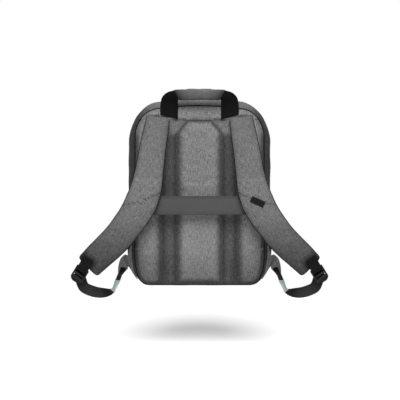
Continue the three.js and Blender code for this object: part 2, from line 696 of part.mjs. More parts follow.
// Padded sleeve round the top of the handle. Its lining follows the handle's upper edge.
function gripGeometry(half) {
  const crest = half.at(-1);
  const upperEdge = (x) => {
    const next = half.findIndex(({ outer }) => outer.x <= x);
    const [a, b] = [half[next - 1].outer, half[next].outer];
    return mix(a.z, b.z, (a.x - x) / (a.x - b.x));
  };
  const corner = half.at(-2).outer.x / (GRIP_TOP_LENGTH / 2);
  const outwards = [0.5 * corner, corner, 0.82, 0.95, 1];
  const columns = [...outwards.map((share) => -share).reverse(), ...outwards];
  const stations = columns.map((share) => {
    const upper = vec(share * GRIP_TOP_LENGTH / 2, crest.outer.y, 0);
    upper.z = upperEdge(Math.abs(upper.x));
    const lower = vec(share * GRIP_LENGTH / 2, crest.inner.y, crest.inner.z);
    return {
      at: upper.clone().lerp(lower, 0.5),
      across: upper.clone().sub(lower).normalize(),
      normal: vec(0, -1, 0),
      width: upper.distanceTo(lower) + 2 * GAP,
      thickness: HANDLE_WEBBING + 2 * GAP,
    };
  });
  const outside = stations.map((station, i) => {
    const pinch = i === 0 || i === stations.length - 1 ? GRIP_END_PINCH : 1;
    const width = station.width + 2 * GRIP_WALL;
    return sectionLoop({ ...station, width, thickness: GRIP_THICKNESS * pinch }, PADDED_SECTION);
  });
  const inside = stations.map((station) => sectionLoop(station, LINING_SECTION)).reverse();
  return loft([...outside, ...inside], true);
}

// Shoulder strap from its top to its lower end. out, down: shares of the way sideways and down,
// off: from the yoke's face to just in front of the luggage band, width and thick: shares of
// the strap's width and thickness.
const STRAP_ROWS = [
  { out: 0, down: 0, off: 0, width: 0.79, thick: 0.3 },
  { out: 0.012, down: 0.04, off: 0.2, width: 0.8, thick: 0.7 },
  { out: 0.03, down: 0.095, off: 0.3, width: 0.84, thick: 1 },
  { out: 0.071, down: 0.2, off: 0.52, width: 0.88, thick: 1 },
  { out: 0.129, down: 0.385, off: 0.84, width: 0.96, thick: 1 },
  { out: 0.167, down: 0.477, off: 1.02, width: 1.04, thick: 1 },
  { out: 0.233, down: 0.566, off: 1.12, width: 1.08, thick: 1 },
  { out: 0.333, down: 0.654, off: 1.16, width: 1.04, thick: 1 },
  { out: 0.45, down: 0.73, off: 1.16, width: 1, thick: 1 },
  { out: 0.564, down: 0.8, off: 1.1, width: 1, thick: 1 },
  { out: 0.705, down: 0.868, off: 1, width: 0.98, thick: 1 },
  { out: 0.852, down: 0.932, off: 0.84, width: 0.95, thick: 1 },
  { out: 1, down: 1, off: 0.68, width: 0.9, thick: 0.95 },
];

function strapRows(sign) {
  return STRAP_ROWS.map(({ out, down, off, width, thick }) => {
    const x = mix(STRAP_TOP_OUT, STRAP_END_OUT, out);
    const z = mix(strapTop, STRAP_END_UP, down);
    const back = mix(yokeFront, bandFront, off) + GAP;
    return {
      at: vec(sign * x, -back - (thick * STRAP_THICKNESS) / 2, z),
      width: width * STRAP_WIDTH,
      thickness: thick * STRAP_THICKNESS,
      twist: 0,
    };
  });
}

// Round corners past the last station. ahead and less: shares of the strap's thickness.
const STRAP_TIP = [
  { ahead: 0.25, less: 0.2, thick: 0.95 },
  { ahead: 0.42, less: 0.75, thick: 0.85 },
  { ahead: 0.5, less: 1.5, thick: 0.6 },
];

const STRAP_STEPS = 30;

function strapStations(sign) {
  const stations = alongCurve(strapRows(sign), STRAP_STEPS);
  const end = stations.at(-1);
  const tip = STRAP_TIP.map(({ ahead, less, thick }) => ({
    ...end,
    at: end.at.clone().addScaledVector(end.tangent, ahead * STRAP_THICKNESS),
    width: end.width - less * STRAP_THICKNESS,
    thickness: end.thickness * thick,
  }));
  return [...stations, ...tip];
}

// Frame of the buckle: its middle, its width direction away from the bag, and its length
// direction away from the strap. It is turned in the plane of the strap's end.
function buckleFrame(sign) {
  const end = strapStations(sign).at(-1);
  const turn = THREE.MathUtils.degToRad(BUCKLE_TURN);
  const onwards = end.tangent;
  const aside = end.across.clone().multiplyScalar(Math.sign(end.across.x) * sign);
  const along = onwards.clone().multiplyScalar(Math.cos(turn)).addScaledVector(aside, -Math.sin(turn));
  const outwards = aside.clone().multiplyScalar(Math.cos(turn)).addScaledVector(onwards, Math.sin(turn));
  const at = end.at.clone().addScaledVector(onwards, BUCKLE_GAP);
  at.addScaledVector(aside, BUCKLE_SIDEWAYS).addScaledVector(along, BUCKLE_LENGTH / 2);
  const front = along.clone().cross(outwards).normalize();
  return { at, along, outwards, front: front.y < 0 ? front : front.negate() };
}

// Ladder lock: a plate with a round lower end and two slots for the webbing.
function buckleGeometry() {
  const shape = new THREE.Shape();
  const half = BUCKLE_WIDTH / 2;
  const end = BUCKLE_LENGTH / 2;
  const shoulder = end - half * BUCKLE_LIP.up;
  shape.moveTo(-half + BUCKLE_CORNER, -end);
  shape.lineTo(half - BUCKLE_CORNER, -end);
  shape.quadraticCurveTo(half, -end, half, -end + BUCKLE_CORNER);
  shape.lineTo(half, shoulder);
  shape.quadraticCurveTo(half * BUCKLE_LIP.wide, end, half * BUCKLE_LIP.flat, end);
  shape.lineTo(-half * BUCKLE_LIP.flat, end);
  shape.quadraticCurveTo(-half * BUCKLE_LIP.wide, end, -half, shoulder);
  shape.lineTo(-half, -end + BUCKLE_CORNER);
  shape.quadraticCurveTo(-half, -end, -half + BUCKLE_CORNER, -end);
  const slotHalf = WEBBING_WIDTH / 2 + 3 * GAP;
  const slotLength = (BUCKLE_LENGTH * (1 - BUCKLE_LIP.length) - 2 * BUCKLE_BAR) / 2;
  for (const from of [-end + BUCKLE_BAR, -end + 2 * BUCKLE_BAR + slotLength]) {
    const slot = new THREE.Path();
    slot.moveTo(-slotHalf, from);
    slot.lineTo(-slotHalf, from + slotLength);
    slot.lineTo(slotHalf, from + slotLength);
    slot.lineTo(slotHalf, from);
    slot.closePath();
    shape.holes.push(slot);
  }
  const geometry = new THREE.ExtrudeGeometry(shape, {
    depth: BUCKLE_THICKNESS, bevelEnabled: false, curveSegments: 4,
  });
  return { geometry: geometry.translate(0, 0, -BUCKLE_THICKNESS / 2), slotLength };
}

const SLOT_BEND = 1.4; // how far before a slot's middle the webbing turns into it

// Webbing and buckle at a strap's end. Points are given in the buckle's frame: along it from
// its middle, and in front of its middle plane.
function addBuckle(name, sign) {
  const frame = buckleFrame(sign);
  const { geometry, slotLength } = buckleGeometry();
  const across = frame.along.clone().cross(frame.front);
  addPiece(`ladder_buckle_${name}`, seated(geometry, frame.at, across, frame.along), blackPlastic);

  const inFrame = (along, front) => {
    return frame.at.clone().addScaledVector(frame.along, along).addScaledVector(frame.front, front);
  };
  const end = BUCKLE_LENGTH / 2;
  const clear = (BUCKLE_THICKNESS + WEBBING_THICKNESS) / 2 + GAP;
  const slot = -end + BUCKLE_BAR + slotLength / 2;
  const strapFace = STRAP_THICKNESS / 2 + GAP + WEBBING_THICKNESS;
  const patchFrom = -end - BUCKLE_GAP - PATCH_LENGTH;
  const loop = [
    inFrame(patchFrom, strapFace),
    inFrame(patchFrom + PATCH_LENGTH * 0.7, strapFace),
    inFrame(-end - BUCKLE_GAP * 0.5, mix(clear, strapFace, 0.45)),
    inFrame(-end + BUCKLE_BAR * 0.5, clear + GAP),
    inFrame(slot - SLOT_BEND, clear + GAP),
    inFrame(slot, clear * 0.5),
    inFrame(slot, -clear * 0.5),
    inFrame(slot - SLOT_BEND, -clear - GAP),
    inFrame(-end + BUCKLE_BAR * 0.5, -clear - GAP),
    inFrame(-end - BUCKLE_GAP * 0.4, -clear),
  ];
  const stations = frameRibbon(loop, frame);
  addPiece(`strap_end_webbing_${name}`, ribbon(stations, FLAT_SECTION), blackWebbing);
  return frame;
}

// Stations of webbing that lies square in a buckle: across stays the buckle's own.
function frameRibbon(points, frame) {
  const curve = new THREE.CatmullRomCurve3(points, false, 'centripetal');
  const steps = (points.length - 1) * 3;
  return Array.from({ length: steps + 1 }, (_, i) => {
    const across = frame.outwards;
    const normal = curve.getTangent(i / steps).cross(across).normalize();
    return {
      at: curve.getPoint(i / steps), across, normal,
      width: WEBBING_WIDTH, thickness: WEBBING_THICKNESS,
    };
  });
}

// Lower webbing from behind the buckle down through a loop and up to the flap. toBag, deep, rise:
// shares of the way from the buckle to the flap's tip sideways, in depth and upwards, drop:
// share of the sag, twist: as in alongCurve.
const LOOP_ROWS = [
  { toBag: -0.008, deep: 0, rise: 0, drop: -0.14, twist: 0.02 },
  { toBag: 0, deep: 0, rise: 0, drop: 0, twist: 0.03 },
  { toBag: 0.043, deep: 0.05, rise: 0, drop: 0.412, twist: 0.08 },
  { toBag: 0.087, deep: 0.09, rise: 0, drop: 0.619, twist: 0.1 },
  { toBag: 0.157, deep: 0.14, rise: 0, drop: 0.743, twist: 0.12 },
  { toBag: 0.254, deep: 0.21, rise: 0, drop: 0.851, twist: 0.16 },
  { toBag: 0.36, deep: 0.28, rise: 0, drop: 0.944, twist: 0.26 },
  { toBag: 0.488, deep: 0.37, rise: 0, drop: 0.996, twist: 0.38 },
  { toBag: 0.604, deep: 0.46, rise: 0, drop: 1, twist: 0.5 },
  { toBag: 0.708, deep: 0.55, rise: 0, drop: 0.949, twist: 0.66 },
  { toBag: 0.785, deep: 0.64, rise: 0, drop: 0.836, twist: 0.86 },
  { toBag: 0.847, deep: 0.74, rise: 0.1, drop: 0.581, twist: 0.78 },
  { toBag: 0.889, deep: 0.83, rise: 0.3, drop: 0.41, twist: 0.68 },
  { toBag: 0.945, deep: 0.93, rise: 0.7, drop: 0.222, twist: 0.5 },
  { toBag: 1, deep: 1, rise: 1, drop: 0, twist: 0.35 },
];
const LOOP_START = { along: 5, inwards: 4, behind: 5.85 }; // in the buckle's frame
const LOOP_STEPS = 40;
const LOOP_END = 0.985; // share of the line at which the webbing meets the flap
const KEEPER_SPAN = { from: 27, to: 34 }; // stations of the webbing that the keeper covers

function flapTip(sign) {
  return vec(sign * (seamHalf + FLAP_TIP.beyond), FLAP_TIP.behind, FLAP_TIP.up);
}

function addLowerWebbing(name, sign, frame) {
  const start = frame.at.clone().addScaledVector(frame.along, LOOP_START.along);
  start.addScaledVector(frame.outwards, -LOOP_START.inwards);
  start.addScaledVector(frame.front, -LOOP_START.behind);
  const end = flapTip(sign);
  const rows = LOOP_ROWS.map(({ toBag, deep, rise, drop, twist }) => ({
    at: vec(
      mix(start.x, end.x, toBag),
      mix(start.y, end.y, deep),
      mix(start.z, end.z, rise) - drop * WEBBING_SAG,
    ),
    twist: -sign * twist,
    width: WEBBING_WIDTH,
    thickness: WEBBING_THICKNESS,
  }));
  const stations = alongCurve(rows, LOOP_STEPS, 0, LOOP_END);
  addPiece(`lower_webbing_${name}`, ribbon(stations, FLAT_SECTION), blackWebbing);
  const covered = stations.slice(KEEPER_SPAN.from, KEEPER_SPAN.to + 1);
  const keeper = sleeve(covered, FLAT_SECTION, GAP, GAP + KEEPER_WALL);
  addPiece(`webbing_keeper_${name}`, keeper, keeperFabric);
}

// Flap: a fabric wedge from the back seam over the side to the webbing. depth: share of the bag's
// depth, low, high: its edges as shares of its seam's height, lift: off the side fabric, in gaps.
const FLAP_ROWS = [
  { depth: 0.03, low: 0, high: 1, overPocket: 0 },
  { depth: 0.06, low: 0.1, high: 0.88, overPocket: 0 },
  { depth: 0.15, low: 0.3, high: 0.66, overPocket: 1 },
];

// Lines across the flap beyond the side. inner, outer: their ends, as distances beyond the back
// seam's side and above the base, behind: depth behind the seam.
const FLAP_FOLDS = [
  { inner: { beyond: 18, up: 42 }, outer: { beyond: 21, up: 68 }, behind: 24 },
  { inner: { beyond: 17, up: 41.5 }, outer: { beyond: 32, up: 61 }, behind: 20 },
];
const FLAP_END = { across: 0.9, forward: 0.1, up: 0.38, above: 5 }; // its sewn end's direction

function addFlap(name, sign) {
  const shares = [0, 0.25, 0.5, 0.75, 1];
  const tip = flapTip(1);
  const heightAt = (share) => mix(FLAP_FOOT, FLAP_TOP, share);
  const onSide = FLAP_ROWS.map(({ depth, low, high, overPocket }) => {
    const lift = FLAP_THICKNESS / 2 + 6 * GAP + overPocket * (POCKET_WALL + GAP);
    const spread = spreadAt(depth);
    return shares.map((share) => {
      return skinPoint(depth, placeAt(heightAt(mix(low, high, share)), spread), lift);
    });
  });
  const folds = FLAP_FOLDS.map(({ inner, outer, behind }) => shares.map((share) => {
    const beyond = mix(inner.beyond, outer.beyond, share);
    return vec(seamHalf + beyond, behind, mix(inner.up, outer.up, share));
  }));
  const { across, forward, up, above } = FLAP_END;
  const last = shares.map((share) => {
    const along = (share - 0.5) * WEBBING_WIDTH;
    return vec(tip.x + across * along, tip.y - forward * along, tip.z + above + up * along);
  });
  const grid = [...onSide, ...folds, last].map((row) => row.map((point) => sideways(point, sign)));
  addPiece(`anchor_flap_${name}`, sheet(grid, FLAP_THICKNESS), fabric);
}

const TAG_STATION = 15; // of the strap's stations

// Blank label on the right strap, over the seam across it.
function addTag(stations) {
  const middle = stations[TAG_STATION];
  const turn = THREE.MathUtils.degToRad(STRAP_TAG.turn);
  const down = vec(Math.cos(turn), 0, -Math.sin(turn));
  const front = middle.normal.y < 0 ? middle.normal.clone() : middle.normal.clone().negate();
  down.addScaledVector(front, -down.dot(front)).normalize();
  const other = down.clone().cross(front);
  const lift = STRAP_THICKNESS / 2 + GAP * 2 + STRAP_TAG.thickness / 2;
  const plate = new THREE.BoxGeometry(STRAP_TAG.length, STRAP_TAG.width, STRAP_TAG.thickness);
  const place = middle.at.clone().addScaledVector(front, lift);
  addPiece('strap_tag', seated(plate, place, down, other), blackFabric);
}

function addStraps() {
  for (const { name, sign } of SIDES) {
    const stations = strapStations(sign);
    addPiece(`shoulder_strap_${name}`, ribbon(stations, PADDED_SECTION), padFabric);
    if (sign > 0) addTag(stations);
    const frame = addBuckle(name, sign);
    addLowerWebbing(name, sign, frame);
    addFlap(name, sign);
  }
}

addBody();
addMainZip();
addFrontPanel();
addPocketZip();
addMainSliders();
addSidePockets();
addPads();
addYoke();
addBand();
addHandle();
addStraps();

export default backpack;
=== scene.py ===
"""Looks of a padded laptop backpack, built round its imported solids.

Shapes are worked out in millimetres in the bag's own frame: X across, Y from the back seam to the
front of the bag, Z up from the base. They are moved to the row's frame, in metres, when a mesh is
made.
"""

import math

import bmesh
import bpy
import numpy as np
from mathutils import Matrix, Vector, noise


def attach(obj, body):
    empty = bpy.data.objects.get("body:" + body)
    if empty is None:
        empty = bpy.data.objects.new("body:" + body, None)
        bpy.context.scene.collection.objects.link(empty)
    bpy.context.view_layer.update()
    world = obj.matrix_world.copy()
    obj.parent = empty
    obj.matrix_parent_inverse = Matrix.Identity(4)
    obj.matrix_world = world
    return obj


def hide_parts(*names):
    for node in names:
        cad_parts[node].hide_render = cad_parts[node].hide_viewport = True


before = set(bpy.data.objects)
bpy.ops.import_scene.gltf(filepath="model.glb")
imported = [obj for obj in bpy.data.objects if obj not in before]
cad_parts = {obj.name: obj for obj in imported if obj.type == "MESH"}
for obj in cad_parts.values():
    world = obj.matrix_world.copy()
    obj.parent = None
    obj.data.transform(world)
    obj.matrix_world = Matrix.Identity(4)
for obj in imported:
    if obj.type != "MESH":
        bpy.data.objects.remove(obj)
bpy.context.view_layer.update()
BODY = "root"
BAG_TO_ROW = np.array([0, 23.8, -186])
SIDES = (("left", -1), ("right", 1))
FRONTWARDS = np.array([0, -1.0, 0])
UPWARDS = np.array([0, 0, 1.0])

# Bag body
BACK_WIDTH, BACK_HEIGHT = 296, 408
SIDE_BULGE, TOP_BULGE, FOOT_LIFT = 15, 14, 2
FOOT_DEPTH, TOP_DEPTH = 148, 110
SIDE_TAPER, TOP_CROWN, FRONT_BULGE = 3, 16, 16
# Corners of the seams and of the fullest outline: across, up, squareness
SEAM_SHOULDER, SEAM_FOOT = (47, 60, 2), (40, 90, 3)
BULGE_SHOULDER, BULGE_FOOT = (65, 95, 2), (60, 80, 2.3)
# Half an outline's points on its flat foot or top and on its side, and the steps of its two arcs
FLAT_POINTS, SIDE_POINTS, FOOT_STEPS, SHOULDER_STEPS = 15, 48, 26, 30
ZIP_START, ZIP_END, FRONT_TURN = 0.3, 0.42, 0.64
FRONT_SEAM_SPREAD = 0.1
ZIP_FOOT = 121
WALL = 2
PIPING_RADIUS = 1.5

# Back panel
BOARD_FRONT, BOARD_BACK = 2.3, 4
PANEL_INSET = 1.4
PAD_THICKNESS, PAD_FOOT, PAD_TOP = 10, 7, 373.5
CENTRE_PAD_HALF, CENTRE_PAD_TOP_HALF, CENTRE_PAD_CHAMFER = 49.7, 26.6, 29
CHANNEL_WIDTH, SIDE_PAD_MARGIN = 37, 10
YOKE_SEAM, YOKE_THICKNESS = 376, 2.5
YOKE_FRONT = BOARD_FRONT + YOKE_THICKNESS
SEAM_GROOVE = 1.3

# Front and side pockets
FRONT_MIDDLE, FRONT_INSET = BACK_HEIGHT / 2, 2.0
ZIP_UP, ZIP_LENGTH = 262, 200
TAPE_THICKNESS = 1.2
POCKET_FOOT, POCKET_TOP, POCKET_FRONT = 24, 150, 0.92

# Luggage band
BAND_HEIGHT, BAND_THICKNESS, BAND_FOOT = 42, 2, 165
BAND_BACK = 35.3
BAND_FRONT = BAND_BACK + BAND_THICKNESS
# Shares of the band's height at which its hems are sewn
HEM_PLACES = (0.11, 0.89)

# Handle
HANDLE_HALF, LEG_WIDTH, HANDLE_TOP = 88, 40, 444
HANDLE_WEBBING, HANDLE_REACH = 2.4, 14
HANDLE_FOOT_SLANT = 7
GRIP_HEIGHT, GRIP_HALF, GRIP_TOP_HALF, GRIP_THICKNESS = 24, 45, 58, 12

# Straps
STRAP_WIDTH, STRAP_THICKNESS, STRAP_STEPS = 66, 13, 150
STRAP_TOP_OUT, STRAP_END_OUT = 92.6, 245.7
STRAP_TOP, STRAP_END_UP = 381, 52
GAP = 0.3

# Webbing and buckles
WEBBING_WIDTH, WEBBING_THICKNESS, WEBBING_SAG = 25, 1.6, 39
BUCKLE_WIDTH, BUCKLE_LENGTH, BUCKLE_THICKNESS, BUCKLE_BAR = 31, 38, 4.5, 5.5
BUCKLE_SIDEWAYS, BUCKLE_GAP, PATCH_LENGTH = 5.4, 8.5, 20
BUCKLE_TURN = math.radians(13)
RAIL_HALF = 2.0
# Painted shade: share of its colour that black webbing keeps on the handle and the strap's end
SHADED_WEBBING = 0.3
FLAP_TIP = (176, 17, 40)
FLAP_FOOT, FLAP_TOP, FLAP_THICKNESS = 13, 95, 2


# Numbers and lines


def smooth_step(low, high, value):
    share = np.clip((value - low) / (high - low), 0, 1)
    return share * share * (3 - 2 * share)


def bell(value, width):
    """1 where a value is 0, and less the further it is from that, over about a width."""
    return np.exp(-(value / width) ** 2)


def from_table(table, value):
    """The second column of a table at a value of its first."""
    return np.interp(value, *np.transpose(table))


def angles_round(count, start=0.0):
    return (np.arange(count) + start) / count * 2 * math.pi


def squarish(values, power):
    """Sines or cosines pushed towards -1 and 1, so that a circle of them is nearly a rectangle."""
    return np.sign(values) * np.abs(values) ** power


def unit(vectors):
    vectors = np.asarray(vectors, float)
    return vectors / np.maximum(np.linalg.norm(vectors, axis=-1, keepdims=True), 1e-9)


def lengths(grid, axis):
    """Distance along one axis of a grid of points, from its first row, averaged over the other."""
    steps = np.linalg.norm(np.diff(grid, axis=axis), axis=2).mean(axis=1 - axis)
    return np.concatenate([[0], np.cumsum(steps)])


def way_along(line):
    """Distance of each point of a line from its first, along the line."""
    return lengths(line[:, None], 0)


def values_at(at, along, values):
    """A line's points, or other rows of values that go with them, at distances along it."""
    return np.stack([np.interp(at, along, column) for column in values.T], axis=-1)


def resample(line, count):
    """Evenly spaced points along a line."""
    along = way_along(line)
    return values_at(np.linspace(0, along[-1], count), along, line)


def closed_ring(grid):
    """The rows of a ring with their first point once more at the end."""
    return np.concatenate([grid, grid[:, :1]], axis=1)


def normals_of(grid):
    return unit(np.cross(np.gradient(grid, axis=0), np.gradient(grid, axis=1)))


def catmull(points, shares):
    """Points on a smooth line through given points, each share from 0 at the first to 1 at the last."""
    points = np.asarray(points, float)
    padded = np.vstack([2 * points[0] - points[1], points, 2 * points[-1] - points[-2]])
    return np.array([catmull_at(padded, share * (len(points) - 1)) for share in shares])


def catmull_at(padded, place):
    span = min(int(place), len(padded) - 4)
    t = place - span
    p = padded[span:span + 4]
    gaps = [max(math.dist(p[i], p[i + 1]) ** 0.5, 1e-4) for i in range(3)]
    start = slope_at(p[:3], gaps[:2]) * gaps[1]
    end = slope_at(p[1:], gaps[1:]) * gaps[1]
    return (
        p[1]
        + start * t
        + (-3 * p[1] + 3 * p[2] - 2 * start - end) * t * t
        + (2 * p[1] - 2 * p[2] + start + end) * t ** 3
    )


def slope_at(points, gaps):
    """How a smooth line runs through the middle one of three points."""
    a, b, c = points
    return (b - a) / gaps[0] - (c - a) / (gaps[0] + gaps[1]) + (c - b) / gaps[1]


def ripple(points, size, height, seed=0.0, stretch=(1, 1, 1)):
    """Smooth noise over points in mm: bumps of about that size and height."""
    scaled = np.asarray(points, float).reshape(-1, 3) / (size * np.asarray(stretch, float)) + seed
    values = np.array([noise.noise(Vector(p)) for p in scaled])
    return (values * height * 2).reshape(np.shape(points)[:-1])


def blur(field, passes):
    """Smooths a grid of values along both of its axes."""
    for _ in range(passes):
        for _axis in range(2):
            wide = np.pad(field, ((1, 1), (0, 0)), mode="edge")
            field = (0.5 * field + 0.25 * (wide[2:] + wide[:-2])).T
    return field


# Meshes


def to_metres(points):
    """Points of the bag's frame, in mm, as points of the row's frame, in metres."""
    return (np.asarray(points, float) + BAG_TO_ROW) / 1000


def read_form(*meshes):
    work = bmesh.new()
    for mesh in meshes:
        work.from_mesh(mesh)
    return work


def keep_form(work, mesh):
    """Writes a worked form to its mesh, smooth and with its faces outwards."""
    bmesh.ops.recalc_face_normals(work, faces=work.faces)
    work.to_mesh(mesh)
    work.free()
    mesh.shade_smooth()


def mesh_object(name, vertices, faces, corner_uv=None):
    mesh = bpy.data.meshes.new(name)
    mesh.from_pydata(to_metres(vertices).tolist(), [], faces)
    layer = mesh.uv_layers.new(name="cloth")
    if corner_uv is not None:
        layer.data.foreach_set("uv", np.asarray(corner_uv, np.float32).ravel())
    paint_light_and_shade(mesh, 1)
    keep_form(read_form(mesh), mesh)
    made = bpy.data.objects.new(name, mesh)
    bpy.context.scene.collection.objects.link(made)
    return made


def paint_light_and_shade(mesh, shares):
    """Sets painted light and shade: how much of its colour the cloth keeps, below 1 for painted shade in
    hollows and shaded places, above 1 for painted light.

    One share is for the whole mesh, and more are for its first vertices.
    """
    tone = mesh.attributes.get("tone") or mesh.attributes.new("tone", "FLOAT", "POINT")
    values = np.ones(len(mesh.vertices), np.float32)
    count = len(values) if np.ndim(shares) == 0 else np.size(shares)
    values[:count] = np.ravel(shares)
    tone.data.foreach_set("value", values)


def cell_corners(table):
    """The values at the four corners of each cell of a grid."""
    return np.stack([table[:-1, :-1], table[:-1, 1:], table[1:, 1:], table[1:, :-1]], axis=2)


def grid_object(name, grid, wrap=False, caps=False, uv=None):
    """Quads through rows of points. With wrap each row is a loop, with caps the end loops are closed.

    The cloth coordinates are metres along the rows and columns, unless uv gives them in mm.
    """
    grid = np.asarray(grid, float)
    rows, columns = grid.shape[:2]
    index = np.arange(rows * columns).reshape(rows, columns)
    closed = grid
    if wrap:
        index, closed = closed_ring(index), closed_ring(grid)
    if uv is None:
        uv = np.stack(np.meshgrid(lengths(closed, 1), lengths(closed, 0)), axis=2)
    faces = cell_corners(index).reshape(-1, 4).tolist()
    corner_uv = cell_corners(uv).reshape(-1, 2) / 1000
    if caps:
        for row in (0, rows - 1):
            faces.append(index[row, :columns].tolist())
            corner_uv = np.vstack([corner_uv, uv[row, :columns] / 1000])
    return mesh_object(name, grid.reshape(-1, 3), faces, corner_uv)


def forms_object(name, forms):
    """One mesh of many closed forms. Each is rings of points, from one of its ends to the other."""
    vertices, faces = [], []
    for rings in forms:
        count = len(rings[0])
        starts = [len(vertices) + count * k for k in range(len(rings))]
        for ring in rings:
            vertices.extend(ring)
        for a, b in zip(starts, starts[1:]):
            faces += [[a + i, a + (i + 1) % count, b + (i + 1) % count, b + i] for i in range(count)]
        faces += [[start + i for i in range(count)] for start in (starts[0], starts[-1])]
    return mesh_object(name, vertices, faces)


def modify(obj, kind, **settings):
    modifier = obj.modifiers.new(kind.title(), kind)
    for key, value in settings.items():
        setattr(modifier, key, value)
    return obj


def thicken(obj, thickness, levels=0):
    """Gives a sheet its thickness in mm, and rounds it off."""
    modify(obj, "SOLIDIFY", thickness=thickness / 1000, offset=0)
    if levels:
        modify(obj, "SUBSURF", levels=levels, render_levels=levels)
    return obj


def bake_modifiers(obj):
    graph = bpy.context.evaluated_depsgraph_get()
    mesh = bpy.data.meshes.new_from_object(obj.evaluated_get(graph))
    obj.modifiers.clear()
    obj.data = mesh


def join(target, other):
    """Adds another object's mesh to the target's, and takes that object away."""
    work = read_form(target.data, other.data)
    bpy.data.objects.remove(other)
    keep_form(work, target.data)


def weld(obj):
    work = read_form(obj.data)
    bmesh.ops.remove_doubles(work, verts=work.verts, dist=1e-6)
    keep_form(work, obj.data)


def close_behind(obj, shape, back):
    """Closes a panel with a flat back, so that it is a solid pad."""
    rows, columns = shape
    index = np.arange(rows * columns).reshape(shape)
    rim = np.concatenate([index[0], index[1:, -1], index[-1, -2::-1], index[-2:0:-1, 0]])
    work = read_form(obj.data)
    work.verts.ensure_lookup_table()
    edge = [work.verts[i] for i in rim]
    depth = to_metres([0, back, 0])[1]
    behind = [work.verts.new((vertex.co.x, depth, vertex.co.z)) for vertex in edge]
    for k in range(len(rim)):
        following = (k + 1) % len(rim)
        work.faces.new([edge[k], edge[following], behind[following], behind[k]])
    work.faces.new(behind)
    keep_form(work, obj.data)


def dress(obj, material, slot, *nodes):
    """The piece takes its material, rides on the bag and stands for the named solids."""
    obj.data.materials.clear()
    obj.data.materials.append(material)
    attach(obj, BODY)
    if nodes:
        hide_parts(*nodes)
    return obj


def tube(name, line, radius, sides, closed=False, flat=1.0, across=(0, 1, 0)):
    """A round or flattened tube along a line of points. across gives its wide direction."""
    if closed:
        tangent = unit(np.roll(line, -1, axis=0) - np.roll(line, 1, axis=0))
    else:
        tangent = unit(np.gradient(line, axis=0))
    wide = np.broadcast_to(across, line.shape)
    wide = unit(wide - (wide * tangent).sum(1, keepdims=True) * tangent)
    other = np.cross(tangent, wide)
    around = angles_round(sides)[None, :, None]
    ring = np.cos(around) * wide[:, None] + flat * np.sin(around) * other[:, None]
    grid = line[:, None] + radius * ring
    if not closed:
        return grid_object(name, grid, wrap=True, caps=True)
    made = grid_object(name, np.concatenate([grid, grid[:1]]), wrap=True)
    weld(made)
    return made


# A stitch is a short rounded thread
STITCH_LENGTH, STITCH_PITCH, THREAD_WIDTH, THREAD_HEIGHT = 3.2, 4.4, 0.7, 0.5
# Along a stitch: share of its length, and its top as a share of its height
STITCH_RINGS = ((0, -0.2), (0.2, 1), (0.8, 1), (1, -0.2))


def stitches(name, lines, normals, material, slot):
    """Threads lying along lines of points, proud of the cloth whose normals are given."""
    threads = []
    shares = np.array(STITCH_RINGS)[:, 0]
    for line, normal in zip(lines, normals):
        normal = np.broadcast_to(normal, line.shape)
        along = way_along(line)
        for start in np.arange(0, along[-1] - STITCH_LENGTH, STITCH_PITCH):
            middle = values_at(start + STITCH_LENGTH * shares, along, line)
            threads.append(thread_rings(middle, unit(values_at(start, along, normal))))
    dress(forms_object(name, threads), material, slot)


def thread_rings(middle, out):
    side = unit(np.cross(middle[-1] - middle[0], out))
    rings = []
    for point, (_, lift) in zip(middle, STITCH_RINGS):
        half = side * (THREAD_WIDTH / 2 * (1 if lift > 0 else 0.6))
        top = point + out * THREAD_HEIGHT * lift
        foot = top - out * THREAD_HEIGHT
        rings.append([top - half, top + half, foot + half, foot - half])
    return rings


# Cloth that swells between its seams

SWELL_MOMENTS = 20


def swell(grid, free, every, reach, back=None, pressure=4.0, spare=0.01):
    """Moves a grid of points as cloth swells between its seams, and returns the new points.

    free is 0 where a point is held and 1 where it is loose. The cloth is simulated on every few rows
    and columns. reach is the most that a point moves, in mm, and spare how much longer the cloth is
    than its seams. back is the depth of a flat back that closes an open grid; without it each row is
    a closed loop.
    """
    looped = back is None
    rows, columns = [np.unique(np.r_[0:n:every, n - 1]) for n in grid.shape[:2]]
    if looped:
        columns = np.arange(0, grid.shape[1], every)
    coarse = grid[np.ix_(rows, columns)]
    trial = grid_object("cloth_under_test", coarse, wrap=looped, caps=looped)
    if not looped:
        close_behind(trial, coarse.shape[:2], back)
    after = simulate(trial, free[np.ix_(rows, columns)], pressure, spare)
    step = (after * 1000 - BAG_TO_ROW).reshape(coarse.shape) - coarse
    size = np.linalg.norm(step, axis=2, keepdims=True)
    step *= reach * np.tanh(size / reach) / np.maximum(size, 1e-9)
    if looped:
        step, columns = closed_ring(step), np.append(columns, grid.shape[1])
    return grid + spread_out(step, rows, columns, grid.shape)


